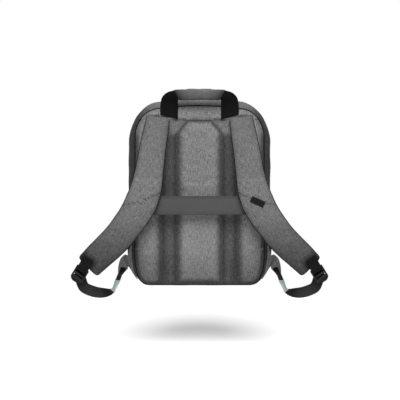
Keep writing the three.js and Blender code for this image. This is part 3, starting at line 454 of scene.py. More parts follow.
def simulate(trial, free, pressure, spare):
    """Where a cloth mesh's first vertices are after some moments under pressure. The mesh is then gone."""
    mesh = trial.data
    held = trial.vertex_groups.new(name="held")
    levels = np.ones(len(mesh.vertices))
    levels[:free.size] = np.round((1 - np.ravel(free)) * 20) / 20
    for level in np.unique(levels):
        held.add(np.flatnonzero(levels == level).tolist(), float(level), "REPLACE")
    cloth = trial.modifiers.new("Cloth", "CLOTH")
    cloth.settings.vertex_group_mass = "held"
    cloth.settings.quality = 3
    cloth.settings.use_pressure = True
    cloth.settings.uniform_pressure_force = pressure
    cloth.settings.shrink_min = -spare
    cloth.settings.effector_weights.gravity = 0
    cloth.collision_settings.use_collision = False
    cloth.point_cache.frame_end = SWELL_MOMENTS
    for moment in range(1, SWELL_MOMENTS + 1):
        bpy.context.scene.frame_set(moment)
    result = trial.evaluated_get(bpy.context.evaluated_depsgraph_get()).data
    points = np.empty(len(result.vertices) * 3)
    result.vertices.foreach_get("co", points)
    bpy.data.objects.remove(trial)
    bpy.data.meshes.remove(mesh)
    bpy.context.scene.frame_set(1)
    return points.reshape(-1, 3)[:free.size]


def spread_out(step, rows, columns, shape):
    """Steps known on some rows and columns of a grid, worked out for all of it."""
    across, down = np.arange(shape[1]), np.arange(shape[0])
    wide = np.array([values_at(across, columns, line) for line in step])
    full = [values_at(down, rows, wide[:, column]) for column in across]
    return np.array(full).transpose(1, 0, 2)


# Materials


class Shader:
    """Adds nodes to a material and links them: a socket as an input is linked, a value is set."""

    def __init__(self, name, roughness, **settings):
        self.material = bpy.data.materials.new(name)
        self.material.use_nodes = True
        self.tree = self.material.node_tree
        self.surface = self.tree.nodes["Principled BSDF"]
        self.surface.inputs["Roughness"].default_value = roughness
        for key, value in settings.items():
            self.surface.inputs[key.replace("_", " ")].default_value = value

    def add(self, kind, inputs=(), **settings):
        node = self.tree.nodes.new(kind)
        for key, value in settings.items():
            setattr(node, key, value)
        for key, value in dict(inputs).items():
            if isinstance(value, bpy.types.NodeSocket):
                self.tree.links.new(value, node.inputs[key])
            else:
                node.inputs[key].default_value = value
        return node

    def math(self, operation, *values):
        return self.add("ShaderNodeMath", dict(enumerate(values)), operation=operation).outputs[0]

    def cloth(self):
        return self.add("ShaderNodeUVMap", uv_map="cloth").outputs[0]

    def across_and_along(self, cloth):
        split = self.add("ShaderNodeSeparateXYZ", {"Vector": cloth})
        return split.outputs[0], split.outputs[1]

    def place(self):
        return self.add("ShaderNodeTexCoord").outputs["Object"]

    def noise(self, where, sizes, detail=2.0):
        """Noise from 0 to 1 whose grains have the given sizes in mm along each axis."""
        scale = [1000 / size for size in sizes]
        spread = self.add("ShaderNodeMapping", {"Vector": where, "Scale": scale})
        inputs = {"Vector": spread.outputs[0], "Scale": 1.0, "Detail": detail}
        return self.add("ShaderNodeTexNoise", inputs).outputs["Fac"]

    def ridges(self, value, pitch):
        """A wave from -1 to 1 with that pitch in mm along a coordinate in metres."""
        return self.math("SINE", self.math("MULTIPLY", value, 2000 * math.pi / pitch))

    def blend(self, parts):
        """The weighted sum of values."""
        total = None
        for value, weight in parts:
            scaled = self.math("MULTIPLY", value, weight)
            total = scaled if total is None else self.math("ADD", total, scaled)
        return total

    def ramp(self, value, stops):
        node = self.add("ShaderNodeValToRGB", {"Fac": value})
        elements = node.color_ramp.elements
        while len(elements) < len(stops):
            elements.new(0.5)
        for element, (place, colour) in zip(elements, stops):
            element.position = place
            element.color = (*colour, 1)
        return node.outputs["Color"]

    def bump(self, height, distance, strength=0.8):
        inputs = {"Height": height, "Distance": distance / 1000, "Strength": strength}
        node = self.add("ShaderNodeBump", inputs)
        self.tree.links.new(node.outputs[0], self.surface.inputs["Normal"])

    def paint(self, colour, toned=False):
        if toned:
            # The painted light and shade set on the mesh scales the colour
            tone = self.add("ShaderNodeAttribute", attribute_name="tone").outputs["Fac"]
            scaled = self.add("ShaderNodeVectorMath", {0: colour, "Scale": tone}, operation="SCALE")
            colour = scaled.outputs[0]
        self.tree.links.new(colour, self.surface.inputs["Base Color"])
        return self.material


def shade(level, factor=1.0):
    """A grey whose brightness is an sRGB value from 0 to 255, times a factor in linear light."""
    s = level / 255
    linear = s / 12.92 if s <= 0.04045 else ((s + 0.055) / 1.055) ** 2.4
    return (linear * factor,) * 3


def heather(name, level, contrast=0.62, thread=0.8):
    """Grey cloth of light and dark yarns: slubs along both thread directions and a plain weave."""
    s = Shader(name, 0.95, Sheen_Weight=0.04, Sheen_Roughness=0.5, Specular_IOR_Level=0.1)
    cloth = s.cloth()
    across, along = s.across_and_along(cloth)
    warp = s.noise(cloth, (1.4, 12, 1), 3)
    weft = s.noise(cloth, (9, 1.4, 1), 3)
    fleck = s.noise(cloth, (2.6, 3.4, 1))
    broad = s.noise(s.place(), (60, 60, 60))
    mixed = s.blend([(warp, 0.42), (weft, 0.26), (fleck, 0.24), (broad, 0.08)])
    stops = [(0.36, shade(level, 1 - contrast)), (0.5, shade(level)), (0.64, shade(level, 1 + contrast))]
    weave = s.math("MULTIPLY", s.ridges(across, thread), s.ridges(along, thread))
    s.bump(s.blend([(weave, 0.12), (warp, 0.5), (weft, 0.35)]), 0.35)
    return s.paint(s.ramp(mixed, stops), toned=True)


def plain_cloth(name, level, roughness, pitch, contrast=0.18, distance=0.12, tint=(1, 1, 1)):
    """Close even cloth: fine threads with a little unevenness."""
    s = Shader(name, roughness, Sheen_Weight=0.02, Specular_IOR_Level=0.1)
    cloth = s.cloth()
    across, along = s.across_and_along(cloth)
    grain = s.noise(cloth, (1.5, 5, 1), 3)
    broad = s.noise(s.place(), (35, 35, 35))
    grey = np.array(shade(level)) * tint
    stops = [(0.35, tuple(grey * (1 - contrast))), (0.65, tuple(grey * (1 + contrast)))]
    threads = [(s.ridges(across, pitch[0]), 0.4), (s.ridges(along, pitch[1]), 0.3), (grain, 0.3)]
    s.bump(s.blend(threads), distance)
    return s.paint(s.ramp(s.blend([(grain, 0.7), (broad, 0.3)]), stops), toned=True)


def webbing(name, level):
    """Ribbed woven tape: ribs along it, and short slanting floats across each rib."""
    s = Shader(name, 0.7, Sheen_Weight=0.02, Specular_IOR_Level=0.12)
    cloth = s.cloth()
    across, along = s.across_and_along(cloth)
    ribs = s.ridges(across, 2.5)
    slant = s.math("ADD", along, s.math("MULTIPLY", s.math("ABSOLUTE", ribs), 0.0006))
    grain = s.noise(cloth, (0.6, 3, 1))
    height = s.blend([(ribs, 0.5), (s.ridges(slant, 1.3), 0.25), (grain, 0.25)])
    s.bump(height, 0.3, 0.9)
    return s.paint(s.ramp(height, [(0.0, shade(level, 0.6)), (0.6, shade(level, 1.25))]), toned=True)


def plastic(name, level):
    """Moulded plastic with a faint spark-eroded grain."""
    s = Shader(name, 0.34, Specular_IOR_Level=0.3)
    s.bump(s.noise(s.place(), (0.5, 0.5, 0.5)), 0.05, 0.5)
    wear = s.noise(s.place(), (9, 9, 9), 3)
    rough = s.add("ShaderNodeMapRange", {"Value": wear, "To Min": 0.28, "To Max": 0.44}).outputs[0]
    s.tree.links.new(rough, s.surface.inputs["Roughness"])
    return s.paint(s.ramp(wear, [(0.3, shade(level, 0.85)), (0.7, shade(level, 1.2))]))


PAD_CLOTH = heather("pad_cloth", 119)
BODY_CLOTH = heather("body_cloth", 98)
GRIP_CLOTH = heather("grip_cloth", 96, 0.4)
BAND_CLOTH = plain_cloth("band_cloth", 76, 0.8, (0.6, 0.6), 0.08, 0.06)
BINDING = plain_cloth("binding_cloth", 20, 0.8, (0.8, 0.8))
STRETCH = plain_cloth("stretch_cloth", 9, 0.8, (1.2, 0.6))
TAG_CLOTH = plain_cloth("tag_cloth", 22, 0.6, (0.5, 0.5), 0.12, 0.08)
WEBBING = webbing("webbing", 26)
KEEPER = plain_cloth("keeper_cloth", 168, 0.75, (1.0, 1.0), 0.1, 0.15, tint=(0.93, 1.05, 1.02))
ZIP_TAPE = plain_cloth("zip_tape", 22, 0.7, (0.9, 0.9))
PLASTIC = plastic("black_plastic", 5)
THREAD = plain_cloth("thread", 80, 0.6, (0.5, 0.5))
DARK_THREAD = plain_cloth("dark_thread", 36, 0.6, (0.5, 0.5))


# The bag's outline and skin


def quarter_arc(corner, steps):
    across, up, squareness = corner
    angle = np.linspace(0, math.pi / 2, steps + 1)
    power = 2 / squareness
    return np.stack([across * np.abs(np.cos(angle)) ** power, up * np.sin(angle) ** power], axis=1)


def half_outline(spread, inset=0.0):
    """Right half of the bag's outline from the base to the top: 0 is the seam, 1 the fullest."""
    half = BACK_WIDTH / 2 + spread * SIDE_BULGE - inset
    top = BACK_HEIGHT + spread * TOP_BULGE - inset
    base = FOOT_LIFT * (1 - spread) + inset
    shrink = np.array([inset, inset, 0])
    foot = np.array(SEAM_FOOT) * (1 - spread) + np.array(BULGE_FOOT) * spread - shrink
    shoulder = np.array(SEAM_SHOULDER) * (1 - spread) + np.array(BULGE_SHOULDER) * spread - shrink
    foot_arc = quarter_arc(foot, FOOT_STEPS)[::-1] * (1, -1) + (half - foot[0], base + foot[1])
    shoulder_arc = quarter_arc(shoulder, SHOULDER_STEPS) + (half - shoulder[0], top - shoulder[1])
    side = np.linspace(foot_arc[-1], shoulder_arc[0], SIDE_POINTS + 2)[1:-1]
    flat_foot = np.linspace((0, base), foot_arc[0], FLAT_POINTS + 1)[:-1]
    flat_top = np.linspace(shoulder_arc[-1], (0, top), FLAT_POINTS + 1)[1:]
    x, z = np.vstack([flat_foot, foot_arc, side, shoulder_arc, flat_top]).T
    lean = SIDE_TAPER * (x / half) * z / BACK_HEIGHT
    drop = TOP_CROWN * (x / half) ** 2 * (z / top) ** 4
    return np.stack([x - lean, z - drop], axis=1)


def whole_outline(spread, inset=0.0):
    """The outline once round, from the middle of the base and back to it."""
    right = half_outline(spread, inset)
    return np.vstack([right, right[::-1][1:-1] * (-1, 1)])


def depth_at(z):
    return FOOT_DEPTH + (TOP_DEPTH - FOOT_DEPTH) * np.asarray(z) / BACK_HEIGHT


def spread_at(depth):
    """How full the outline is at a share of the bag's depth."""
    rear = 1 - (1 - min(depth / ZIP_START, 1)) ** 3.2
    front = max((depth - FRONT_TURN) / (1 - FRONT_TURN), 0) ** 2.2
    return rear + (FRONT_SEAM_SPREAD - 1) * front


def skin_grid(depths, shifts=0.0):
    """The skin's outline once round at shares of the bag's depth, each moved by a shift in depth."""
    rings = []
    for depth, shift in zip(depths, np.broadcast_to(shifts, len(depths))):
        x, z = whole_outline(spread_at(depth)).T
        rings.append(np.stack([x, depth * depth_at(z) + shift, z], axis=1))
    return np.array(rings)


def side_point(depth, z, lift):
    """A point on the right side of the skin at a height below its shoulder."""
    below_top = slice(-FLAT_POINTS - 5)
    x, up = half_outline(spread_at(depth), -lift)[below_top].T
    return np.array([np.interp(z, up, x), depth * depth_at(z), z])


def coons(foot, top, left, right):
    """A grid of points spanned between four edges."""
    u = np.linspace(0, 1, len(foot))[None, :, None]
    v = np.linspace(0, 1, len(left))[:, None, None]
    low_corners = (1 - u) * foot[0] + u * foot[-1]
    top_corners = (1 - u) * top[0] + u * top[-1]
    corners = (1 - v) * low_corners + v * top_corners
    return (1 - v) * foot[None] + v * top[None] + (1 - u) * left[:, None] + u * right[:, None] - corners


def outline_grid(spread, inset, columns, rows):
    """X and Z of a grid that fills the outline, with its corners in the middles of its corners."""
    right = half_outline(spread, inset)
    left = right * (-1, 1)
    foot_middle = FLAT_POINTS + FOOT_STEPS // 2
    top_middle = len(right) - FLAT_POINTS - SHOULDER_STEPS // 2 - 1
    foot = np.vstack([left[:foot_middle + 1][::-1], right[1:foot_middle + 1]])
    top = np.vstack([left[top_middle:], right[top_middle:-1][::-1]])
    side = resample(right[foot_middle:top_middle + 1], rows)
    return coons(resample(foot, columns), resample(top, columns), side * (-1, 1), side)


def rim_distance(grid, rim):
    """Distance of each point of a flat grid from an outline, worked out in parts."""
    parts = np.array_split(grid.reshape(-1, 2), 60)
    distance = [np.linalg.norm(rim[None] - part[:, None], axis=2).min(axis=1) for part in parts]
    return np.concatenate(distance).reshape(grid.shape[:2])


# Back panel


def pad_rise(distance):
    """Height of a pad's fabric, as a share of the pad, at a distance inside the pad's edge."""
    share = np.clip((distance + 5) / 23, 0, 1)
    return 1 - (1 - share) ** 2.4


def pad_places(x, z, rim):
    """Distances inside the edges of the centre pad and of the side pads, less than 0 outside them."""
    reach = np.abs(x)
    slope = (CENTRE_PAD_HALF - CENTRE_PAD_TOP_HALF) / CENTRE_PAD_CHAMFER
    over = z - (PAD_TOP - CENTRE_PAD_CHAMFER)
    slanted = (CENTRE_PAD_HALF - reach - over * slope) / math.hypot(1, slope)
    ends = np.minimum(z - PAD_FOOT, PAD_TOP - z)
    centre = np.minimum(np.minimum(CENTRE_PAD_HALF - reach, slanted), ends)
    inner = CENTRE_PAD_HALF + CHANNEL_WIDTH
    side = np.minimum(np.minimum(reach - inner, rim - SIDE_PAD_MARGIN), ends)
    return centre, side


def panel_height(x, z, rim):
    """How far the back panel's cloth stands in front of the seam plane."""
    pads = PAD_THICKNESS * pad_rise(np.maximum(*pad_places(x, z, rim)))
    yoke = YOKE_THICKNESS * smooth_step(-1.5, 1.5, z - YOKE_SEAM)
    board = BOARD_FRONT * (1 - np.exp(-rim / 4)) + 0.2
    return board + pads + yoke


def panel_painted_light_and_shade(x, z, rim, height):
    """Painted light and shade on the panel: painted shade in the channels, beside the pads, along the
    seams, by the rim, low down and in hollows, and painted light on the yoke.
    """
    reach = np.abs(x)
    centre, side = pad_places(x, z, rim)
    below_yoke = z < YOKE_SEAM
    near_top = smooth_step(335, 352, z)
    by_channel = np.maximum(centre, reach - CENTRE_PAD_HALF - CHANNEL_WIDTH)
    in_channel = 1 - smooth_step(-6, 0, np.maximum(centre, side))
    at_pad = bell(by_channel - 1 + near_top, 9.5 - 5 * near_top)
    at_yoke = bell(z - YOKE_SEAM, SEAM_GROOVE) * (reach < CENTRE_PAD_HALF + 10)
    at_strap = bell(z - STRAP_TOP - 2.5, 1.8) * (np.abs(reach - STRAP_TOP_OUT) < 29)
    at_foot = 0.3 + 0.15 * (reach > CENTRE_PAD_HALF + CHANNEL_WIDTH / 2)
    # Painted light on the yoke, then painted shade beside the pads, in the channels, in the seams, by the
    # rim and low down
    tone = 1 + 0.25 * smooth_step(-3, 3, z - YOKE_SEAM)
    tone = tone * (1 - 0.66 * at_pad * below_yoke)
    tone = tone * (1 - 0.5 * in_channel * (1 - near_top) * below_yoke)
    tone = tone * (1 - 0.6 * at_yoke) * (1 - 0.7 * at_strap)
    tone = tone * (1 - 0.35 * np.exp(-rim / 5))
    tone = tone * (1 - at_foot * (1 - smooth_step(25, 115, z)))
    # Painted shade in the hollows, a little painted light on the rises
    hollow = np.clip(blur(height, 70) - height, -1, 4)
    return np.clip(tone * (1 - 0.06 * hollow), 0.2, 1.4)


def make_back_panel():
    grid = outline_grid(0, PANEL_INSET, 150, 206)
    rim = rim_distance(grid, whole_outline(0, PANEL_INSET))
    x, z = grid[..., 0], grid[..., 1]
    height = blur(panel_height(x, z, rim), 2)
    tone = panel_painted_light_and_shade(x, z, rim, height)
    flat = np.stack([x, 0 * x, z], axis=2)
    soft = smooth_step(0, 12, rim)
    near_seam = np.exp(-np.abs(z - YOKE_SEAM) / 9)
    near_rim = np.exp(-rim / 12)
    height = height - 1.6 * bell(z - YOKE_SEAM, SEAM_GROOVE)
    height += soft * ripple(flat, 55, 0.5, 3.1)
    height += soft * near_seam * ripple(flat, 11, 0.6, 7.7, (1, 1, 3))
    height += soft * near_rim * ripple(flat, 14, 0.8, 1.9)
    yoke = smooth_step(3, 14, z - YOKE_SEAM) * smooth_step(3, 12, rim)
    loose = np.maximum(smooth_step(1, 9, np.maximum(*pad_places(x, z, rim))), 0.6 * yoke)
    front = swell(np.stack([x, -height, z], axis=2), loose, 3, 2.5, back=BOARD_BACK)
    made = grid_object("back_panel", front, uv=np.stack([x, z], axis=2))
    close_behind(made, front.shape[:2], BOARD_BACK)
    # Painted light and shade of the panel
    paint_light_and_shade(made.data, tone)
    stitch_panel(front)
    replaced = ("back_board", "centre_pad", "side_pad_left", "side_pad_right", "yoke_panel")
    dress(made, PAD_CLOTH, "pad_fabric", *replaced)


def stitch_panel(front):
    """Rows of stitches above the yoke's seam and across the tops of the straps."""
    spans = [(-46, 46, YOKE_SEAM + 4)] + [(sign * 64, sign * 119, STRAP_TOP + 6) for _, sign in SIDES]
    lines = []
    for start, end, up in spans:
        x, z = np.linspace(start, end, 60), np.full(60, up)
        lines.append(np.stack([x, surface_depth(front, x, z) - 0.1, z], axis=1))
    stitches("panel_stitches", lines, [FRONTWARDS] * len(lines), DARK_THREAD, "pad_fabric")


def surface_depth(surface, x, z):
    """Depth of a surface's nearest points at given places, weighted by how near they are."""
    points = surface.reshape(-1, 3)
    result = []
    for place in np.stack([x, z], axis=-1).reshape(-1, 2):
        far = np.hypot(points[:, 0] - place[0], points[:, 2] - place[1])
        near = np.argpartition(far, 4)[:4]
        result.append(np.average(points[near, 1], weights=1 / (far[near] + 0.1)))
    return np.reshape(result, np.shape(x))


# Gussets, piping, zips and front


def sagging(grid, height, seed, hold=0.2):
    """Lets cloth wave a little between the seams at its first and last rows."""
    normal = normals_of(closed_ring(grid))[:, :-1]
    outwards = np.sign((normal * (grid - grid.mean(axis=(0, 1)))).sum(axis=2, keepdims=True))
    across = np.linspace(0, 1, len(grid))[:, None]
    free = np.clip(4 * across * (1 - across), 0, 1) ** 0.5
    wave = free * (ripple(grid, 38, height, seed, (1, 0.8, 1)) - hold)
    return grid + normal * outwards * wave[..., None]


def make_gusset(name, depths, shifts, wave, seed):
    """Cloth round the bag between two seams, with painted shade on its sides beside the back seam, where
    the straps shade it.
    """
    cloth = sagging(skin_grid(depths, shifts), wave, seed)
    made = grid_object(f"{name}_gusset_cloth", closed_ring(cloth))
    beside = 1 - smooth_step(0.12, 0.3, depths)
    on_side = smooth_step(100, 140, np.abs(cloth[..., 0]))
    # Painted shade beside the back seam on the bag's sides
    paint_light_and_shade(made.data, closed_ring(1 - 0.68 * beside[:, None] * on_side))
    weld(made)
    dress(thicken(made, WALL), BODY_CLOTH, "body_fabric", f"{name}_gusset")


def make_piping(name, depth, spread):
    outline = whole_outline(spread, 0.4 * PIPING_RADIUS)
    line = np.stack([outline[:, 0], depth * depth_at(outline[:, 1]), outline[:, 1]], axis=1)
    cord = tube(f"{name}_piping_cord", line, PIPING_RADIUS, 12, closed=True)
    dress(cord, BINDING, "black_fabric", f"piping_{name}")


def make_skin():
    share = np.linspace(0, 1, 13)
    make_gusset("rear", ZIP_START * share ** 1.5, 1.6 * (1 - share) ** 4, 1.0, 2.2)
    share = np.linspace(0, 1, 22)
    make_gusset("front", ZIP_END + (1 - ZIP_END) * share, -1.6 * share ** 8, 1.3, 5.4)
    make_piping("rear", 0, 0)
    make_piping("front", 1, FRONT_SEAM_SPREAD)


def make_zip_ring():
    """The strip between the gussets: zip tape over the top, plain cloth under the base."""
    grid = skin_grid(np.linspace(ZIP_START, ZIP_END, 9))
    middle = np.abs(np.linspace(-1, 1, 9))[:, None, None]
    inwards = unit(UPWARDS * BACK_HEIGHT / 2 - grid * (1, 0, 1))
    first = int(np.argmax(half_outline(spread_at(ZIP_START))[:, 1] > ZIP_FOOT))
    last = grid.shape[1] - first
    tape = (grid + inwards * 0.9 * (1 - middle))[:, first:last + 1]
    made = grid_object("main_zip_tape", tape)
    dress(thicken(made, TAPE_THICKNESS), ZIP_TAPE, "black_fabric", "main_zipper")
    zip_teeth("main_zip_teeth", tape[4], -inwards[4, first:last + 1], 2.6)
    made = grid_object("base_cloth", np.concatenate([grid[:, last:], grid[:, :first + 1]], axis=1))
    dress(thicken(made, WALL), BODY_CLOTH, "body_fabric", "base_gusset")


TOOTH_PITCH, TOOTH_STEP = 1.5, 0.5
# Sections of a tooth along its reach, as share and height, and of one section: along the zip, up
TOOTH_RINGS = ((-0.25, 0.5), (0.1, 1.1), (0.7, 1.2), (1, 0.6))
TOOTH_SECTION = ((-0.55, 0), (-0.4, 1), (0.4, 1), (0.55, 0))


def zip_teeth(name, line, outwards, reach):
    """Interlocked coil of a zip: short bars in turn from both sides of its middle line."""
    along = way_along(line)
    run = unit(line[1] - line[0])
    teeth = []
    for count, at in enumerate(np.arange(0, along[-1], TOOTH_PITCH)):
        here, ahead = values_at(np.array([at, at + TOOTH_STEP]), along, line)
        out = unit(values_at(at, along, outwards))
        if at + TOOTH_STEP < along[-1]:
            run = unit(ahead - here)
        side = np.cross(run, out) * (1 if count % 2 else -1)
        teeth.append(tooth_rings(here, run, side * reach, out))
    dress(forms_object(name, teeth), ZIP_TAPE, "black_fabric")


def tooth_rings(here, run, reach, out):
    rings = []
    for share, high in TOOTH_RINGS:
        middle = here + reach * share
        rings.append([middle + run * place + out * (0.4 + up * high) for place, up in TOOTH_SECTION])
    return rings


# From the front's middle to its rim: share of the way, share of the bulge
FRONT_CROWN = ((0, 1), (0.4, 1), (0.68, 0.86), (0.87, 0.52), (0.965, 0.16), (1, 0))


def front_share(x, z, rim):
    """Distance from the middle of the front as a share of the way to its rim."""
    angle = np.arctan2(rim[:, 1] - FRONT_MIDDLE, rim[:, 0])
    order = np.argsort(angle)
    reach = np.hypot(rim[:, 0], rim[:, 1] - FRONT_MIDDLE)[order]
    here = np.arctan2(z - FRONT_MIDDLE, x)
    return np.hypot(x, z - FRONT_MIDDLE) / np.interp(here, angle[order], reach, period=2 * math.pi)


def make_front():
    rim = whole_outline(FRONT_SEAM_SPREAD, FRONT_INSET)
    grid = outline_grid(FRONT_SEAM_SPREAD, FRONT_INSET, 100, 136)
    x, z = grid[..., 0], grid[..., 1]
    share = np.clip(front_share(x, z, rim), 0, 1)
    depth = blur(depth_at(z) + from_table(FRONT_CROWN, share) * FRONT_BULGE, 2)
    flat = np.stack([x, depth, z], axis=2)
    soft = smooth_step(0, 30, rim_distance(grid, rim))
    mouth = smooth_step(ZIP_LENGTH / 2 + 8, ZIP_LENGTH / 2 - 4, np.abs(x))
    depth = depth + soft * (ripple(flat, 70, 1.3, 4.4) + ripple(flat, 24, 0.3, 9.1))
    depth = depth - 2.2 * mouth * bell(z - ZIP_UP, 8)
    front = np.stack([x, depth, z], axis=2)
    made = grid_object("front_cloth", front, uv=np.stack([x, z], axis=2))
    dress(thicken(made, WALL), BODY_CLOTH, "body_fabric", "front_panel")
    make_front_zip(front)


def make_front_zip(front):
    """Zip in the front: its tape follows the front's surface, given as a grid of points."""
    columns = np.linspace(-ZIP_LENGTH / 2, ZIP_LENGTH / 2, 90)
    x, up = np.meshgrid(columns, ZIP_UP + np.linspace(-8, 8, 9), indexing="ij")
    grid = np.stack([x, surface_depth(front, x, up) + WALL / 2 + 0.9, up], axis=2)
    made = grid_object("pocket_zip_tape", grid)
    dress(thicken(made, TAPE_THICKNESS), ZIP_TAPE, "black_fabric", "pocket_zipper")
    zip_teeth("pocket_zip_teeth", grid[:, 4], np.tile(-FRONTWARDS, (len(grid), 1)), 2.4)
    welt = grid[:, -1] + (0, 0.6, 1.2)
    dress(tube("pocket_welt", welt, 2.2, 10, flat=0.8), BODY_CLOTH, "body_fabric")


def make_side_pocket(name, sign):
    """Stretch pocket that hugs the side, with a bound elastic mouth slanting to the back."""
    columns = np.linspace(0, 1, 44)
    rows = []
    for z in np.linspace(POCKET_FOOT, POCKET_TOP, 40):
        up = (z - POCKET_FOOT) / (POCKET_TOP - POCKET_FOOT)
        rear = 0.05 + 0.19 * (1 - up) ** 3
        belly = 2.2 * np.sin(math.pi * columns) * math.sin(math.pi * (0.15 + 0.7 * up))
        row = [side_point(rear + (POCKET_FRONT - rear) * c, z, 1.65 + b) for c, b in zip(columns, belly)]
        rows.append(np.array(row) * (sign, 1, 1))
    grid = np.array(rows)
    near_mouth = smooth_step(POCKET_TOP - 20, POCKET_TOP, grid[..., 2])
    grid[..., 0] += sign * 0.5 * near_mouth * np.sin(columns * 2 * math.pi * 26)
    made = grid_object(f"side_pocket_cloth_{name}", grid)
    dress(thicken(made, 1.5), STRETCH, "black_fabric", f"side_pocket_{name}")
    mouth = grid[-1] + (sign * 0.4, 0, 0)
    made = tube(f"pocket_mouth_{name}", mouth, 2.6, 10, flat=0.45, across=(0, 0, 1))
    dress(made, BINDING, "black_fabric")


def bevel_sliders():
    for node in ("pocket_slider", "main_slider_left", "main_slider_right"):
        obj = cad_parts[node]
        obj.data.materials.clear()
        obj.data.materials.append(PLASTIC)
        modify(obj, "BEVEL", width=0.0008, segments=3, limit_method="ANGLE")


# Luggage band

# From the band's middle to its sewn end: share of the way out, share of the way off the back
BAND_ROWS = (
    (0, 1), (0.31, 1), (0.62, 1), (0.73, 0.93), (0.83, 0.74),
    (0.91, 0.5), (0.955, 0.34), (0.985, 0.2), (1, 0),
)
HEM_ROWS = (4, -5)


def band_line():
    """The middle of the band's thickness, from one sewn end to the other, at the height of the base."""
    end = BACK_WIDTH / 2 - SIDE_TAPER - PIPING_RADIUS * 3
    out, off = np.array(BAND_ROWS).T
    y = -(BOARD_FRONT + (BAND_BACK - BOARD_FRONT) * off) - BAND_THICKNESS / 2
    half = np.stack([out * end, y, 0 * y], axis=1)
    line = np.vstack([half[:0:-1] * (-1, 1, 1), half])
    return resample(catmull(line, np.linspace(0, 1, 400)), 180)


def make_band():
    up = np.linspace(0, 1, 37)
    grid = band_line()[:, None] + UPWARDS * (BAND_FOOT + up * BAND_HEIGHT)[None, :, None]
    normal = normals_of(grid)
    normal *= np.sign(-normal[..., 1:2])
    grooves = sum(bell(up - place, 0.03) for place in (0.11, 0.17, 0.89))
    bow = 0.6 * np.sin(math.pi * up) - 0.35 * grooves
    grid = grid + normal * (bow + ripple(grid, 40, 0.5, 6.3, (1, 1, 0.7)))[..., None]
    made = grid_object("luggage_band_cloth", grid)
    # Painted shade in the hem grooves, and the band darker towards its upper and lower edges
    hems = sum(bell(up - place, 0.02) for place in HEM_PLACES)
    border = np.exp(-np.minimum(up, 1 - up) / 0.025)
    paint_light_and_shade(made.data, np.tile((1 - 0.25 * hems) * (1 - 0.6 * border), (len(grid), 1)))
    dress(thicken(made, BAND_THICKNESS, 1), BAND_CLOTH, "band_fabric", "luggage_band")
    face = grid + normal * BAND_THICKNESS / 2
    lines = [face[:, row] for row in HEM_ROWS]
    stitches("band_hem_stitches", lines, [normal[:, row] for row in HEM_ROWS], THREAD, "band_fabric")


# Grab handle

# Half of the handle from its foot to the top: outer, outer_up, inner, inner_up, off
HANDLE_ROWS = (
    (1, 0, 1, 0, 0), (1, 0.25, 1, 0.5, 0.05), (0.99, 0.48, 1, 0.8, 0.2), (0.95, 0.68, 0.99, 0.96, 0.5),
    (0.84, 0.85, 0.975, 1, 0.8), (0.68, 0.935, 0.96, 1, 1), (0.32, 0.99, 0.5, 1, 1), (0, 1, 0, 1, 1),
)


def handle_edges(count):
    """The outer and the inner edge of the handle, as smooth lines of points."""
    outer, outer_up, inner, inner_up, off = np.array(HANDLE_ROWS).T
    y = -YOKE_FRONT - GAP - HANDLE_WEBBING / 2 - off * HANDLE_REACH
    foot, low = STRAP_TOP + HANDLE_FOOT_SLANT, YOKE_SEAM + GAP
    outer_z = foot + (HANDLE_TOP - foot) * outer_up
    inner_z = low + (HANDLE_TOP - GRIP_HEIGHT - low) * inner_up
    edges = []
    for x, z in ((outer * HANDLE_HALF, outer_z), (inner * (HANDLE_HALF - LEG_WIDTH), inner_z)):
        half = np.stack([x, y, z], axis=1)
        edges.append(catmull(np.vstack([half, half[-2::-1] * (-1, 1, 1)]), np.linspace(0, 1, count)))
    return edges


def make_handle():
    outer, inner = handle_edges(140)
    shares = np.linspace(0, 1, 20)
    grid = outer[:, None] * (1 - shares)[None, :, None] + inner[:, None] * shares[None, :, None]
    grid[..., 1] -= 0.5 * np.sin(math.pi * shares)
    uv = np.stack(np.meshgrid(shares * LEG_WIDTH, lengths(grid, 0)), axis=2)
    made = grid_object("handle_webbing", grid, uv=uv)
    # Painted shade on the handle's black webbing
    paint_light_and_shade(made.data, SHADED_WEBBING)
    dress(thicken(made, HANDLE_WEBBING, 1), WEBBING, "black_webbing", "grab_handle")
    make_grip()


def make_grip():
    """Padded sleeve round the top of the handle, pinched where it ends."""
    outer = handle_edges(400)[0]
    top_half = outer[::-1][np.abs(outer[::-1, 0]) <= GRIP_TOP_HALF]
    shares = np.linspace(-1, 1, 72)
    y = np.full(72, outer[:, 1].min())
    upper_x = shares * GRIP_TOP_HALF
    upper = np.stack([upper_x, y, np.interp(upper_x, top_half[:, 0], top_half[:, 2]) + 1], axis=1)
    lower = np.stack([shares * GRIP_HALF, y, np.full(72, HANDLE_TOP - GRIP_HEIGHT - 1)], axis=1)
    around = angles_round(40)
    rise, out = squarish(np.sin(around), 0.62), squarish(np.cos(around), 0.62)
    pinch = 1 - 0.5 * np.abs(shares) ** 14
    half = (upper - lower) / 2 * (0.97 + 0.03 * pinch)[:, None]
    forwards = np.outer(GRIP_THICKNESS / 2 * pinch, out)[..., None] * FRONTWARDS
    grid = (upper + lower)[:, None] / 2 + half[:, None] * rise[:, None] + forwards
    loose = np.outer(1 - np.abs(shares) ** 8, np.ones(40))
    grid = swell(grid, loose, 2, 1.2, pressure=3, spare=0.015)
    made = grid_object("handle_grip_sleeve", grid, wrap=True, caps=True)
    # Painted light in the middle and on the upper half of the sleeve, painted shade at its pinched ends and
    # on its lower half
    paint_light_and_shade(made.data, np.outer(1.2 - 0.95 * np.abs(shares) ** 3, 0.8 + 0.2 * rise))
    dress(made, GRIP_CLOTH, "pad_fabric", "handle_grip")


# Shoulder straps

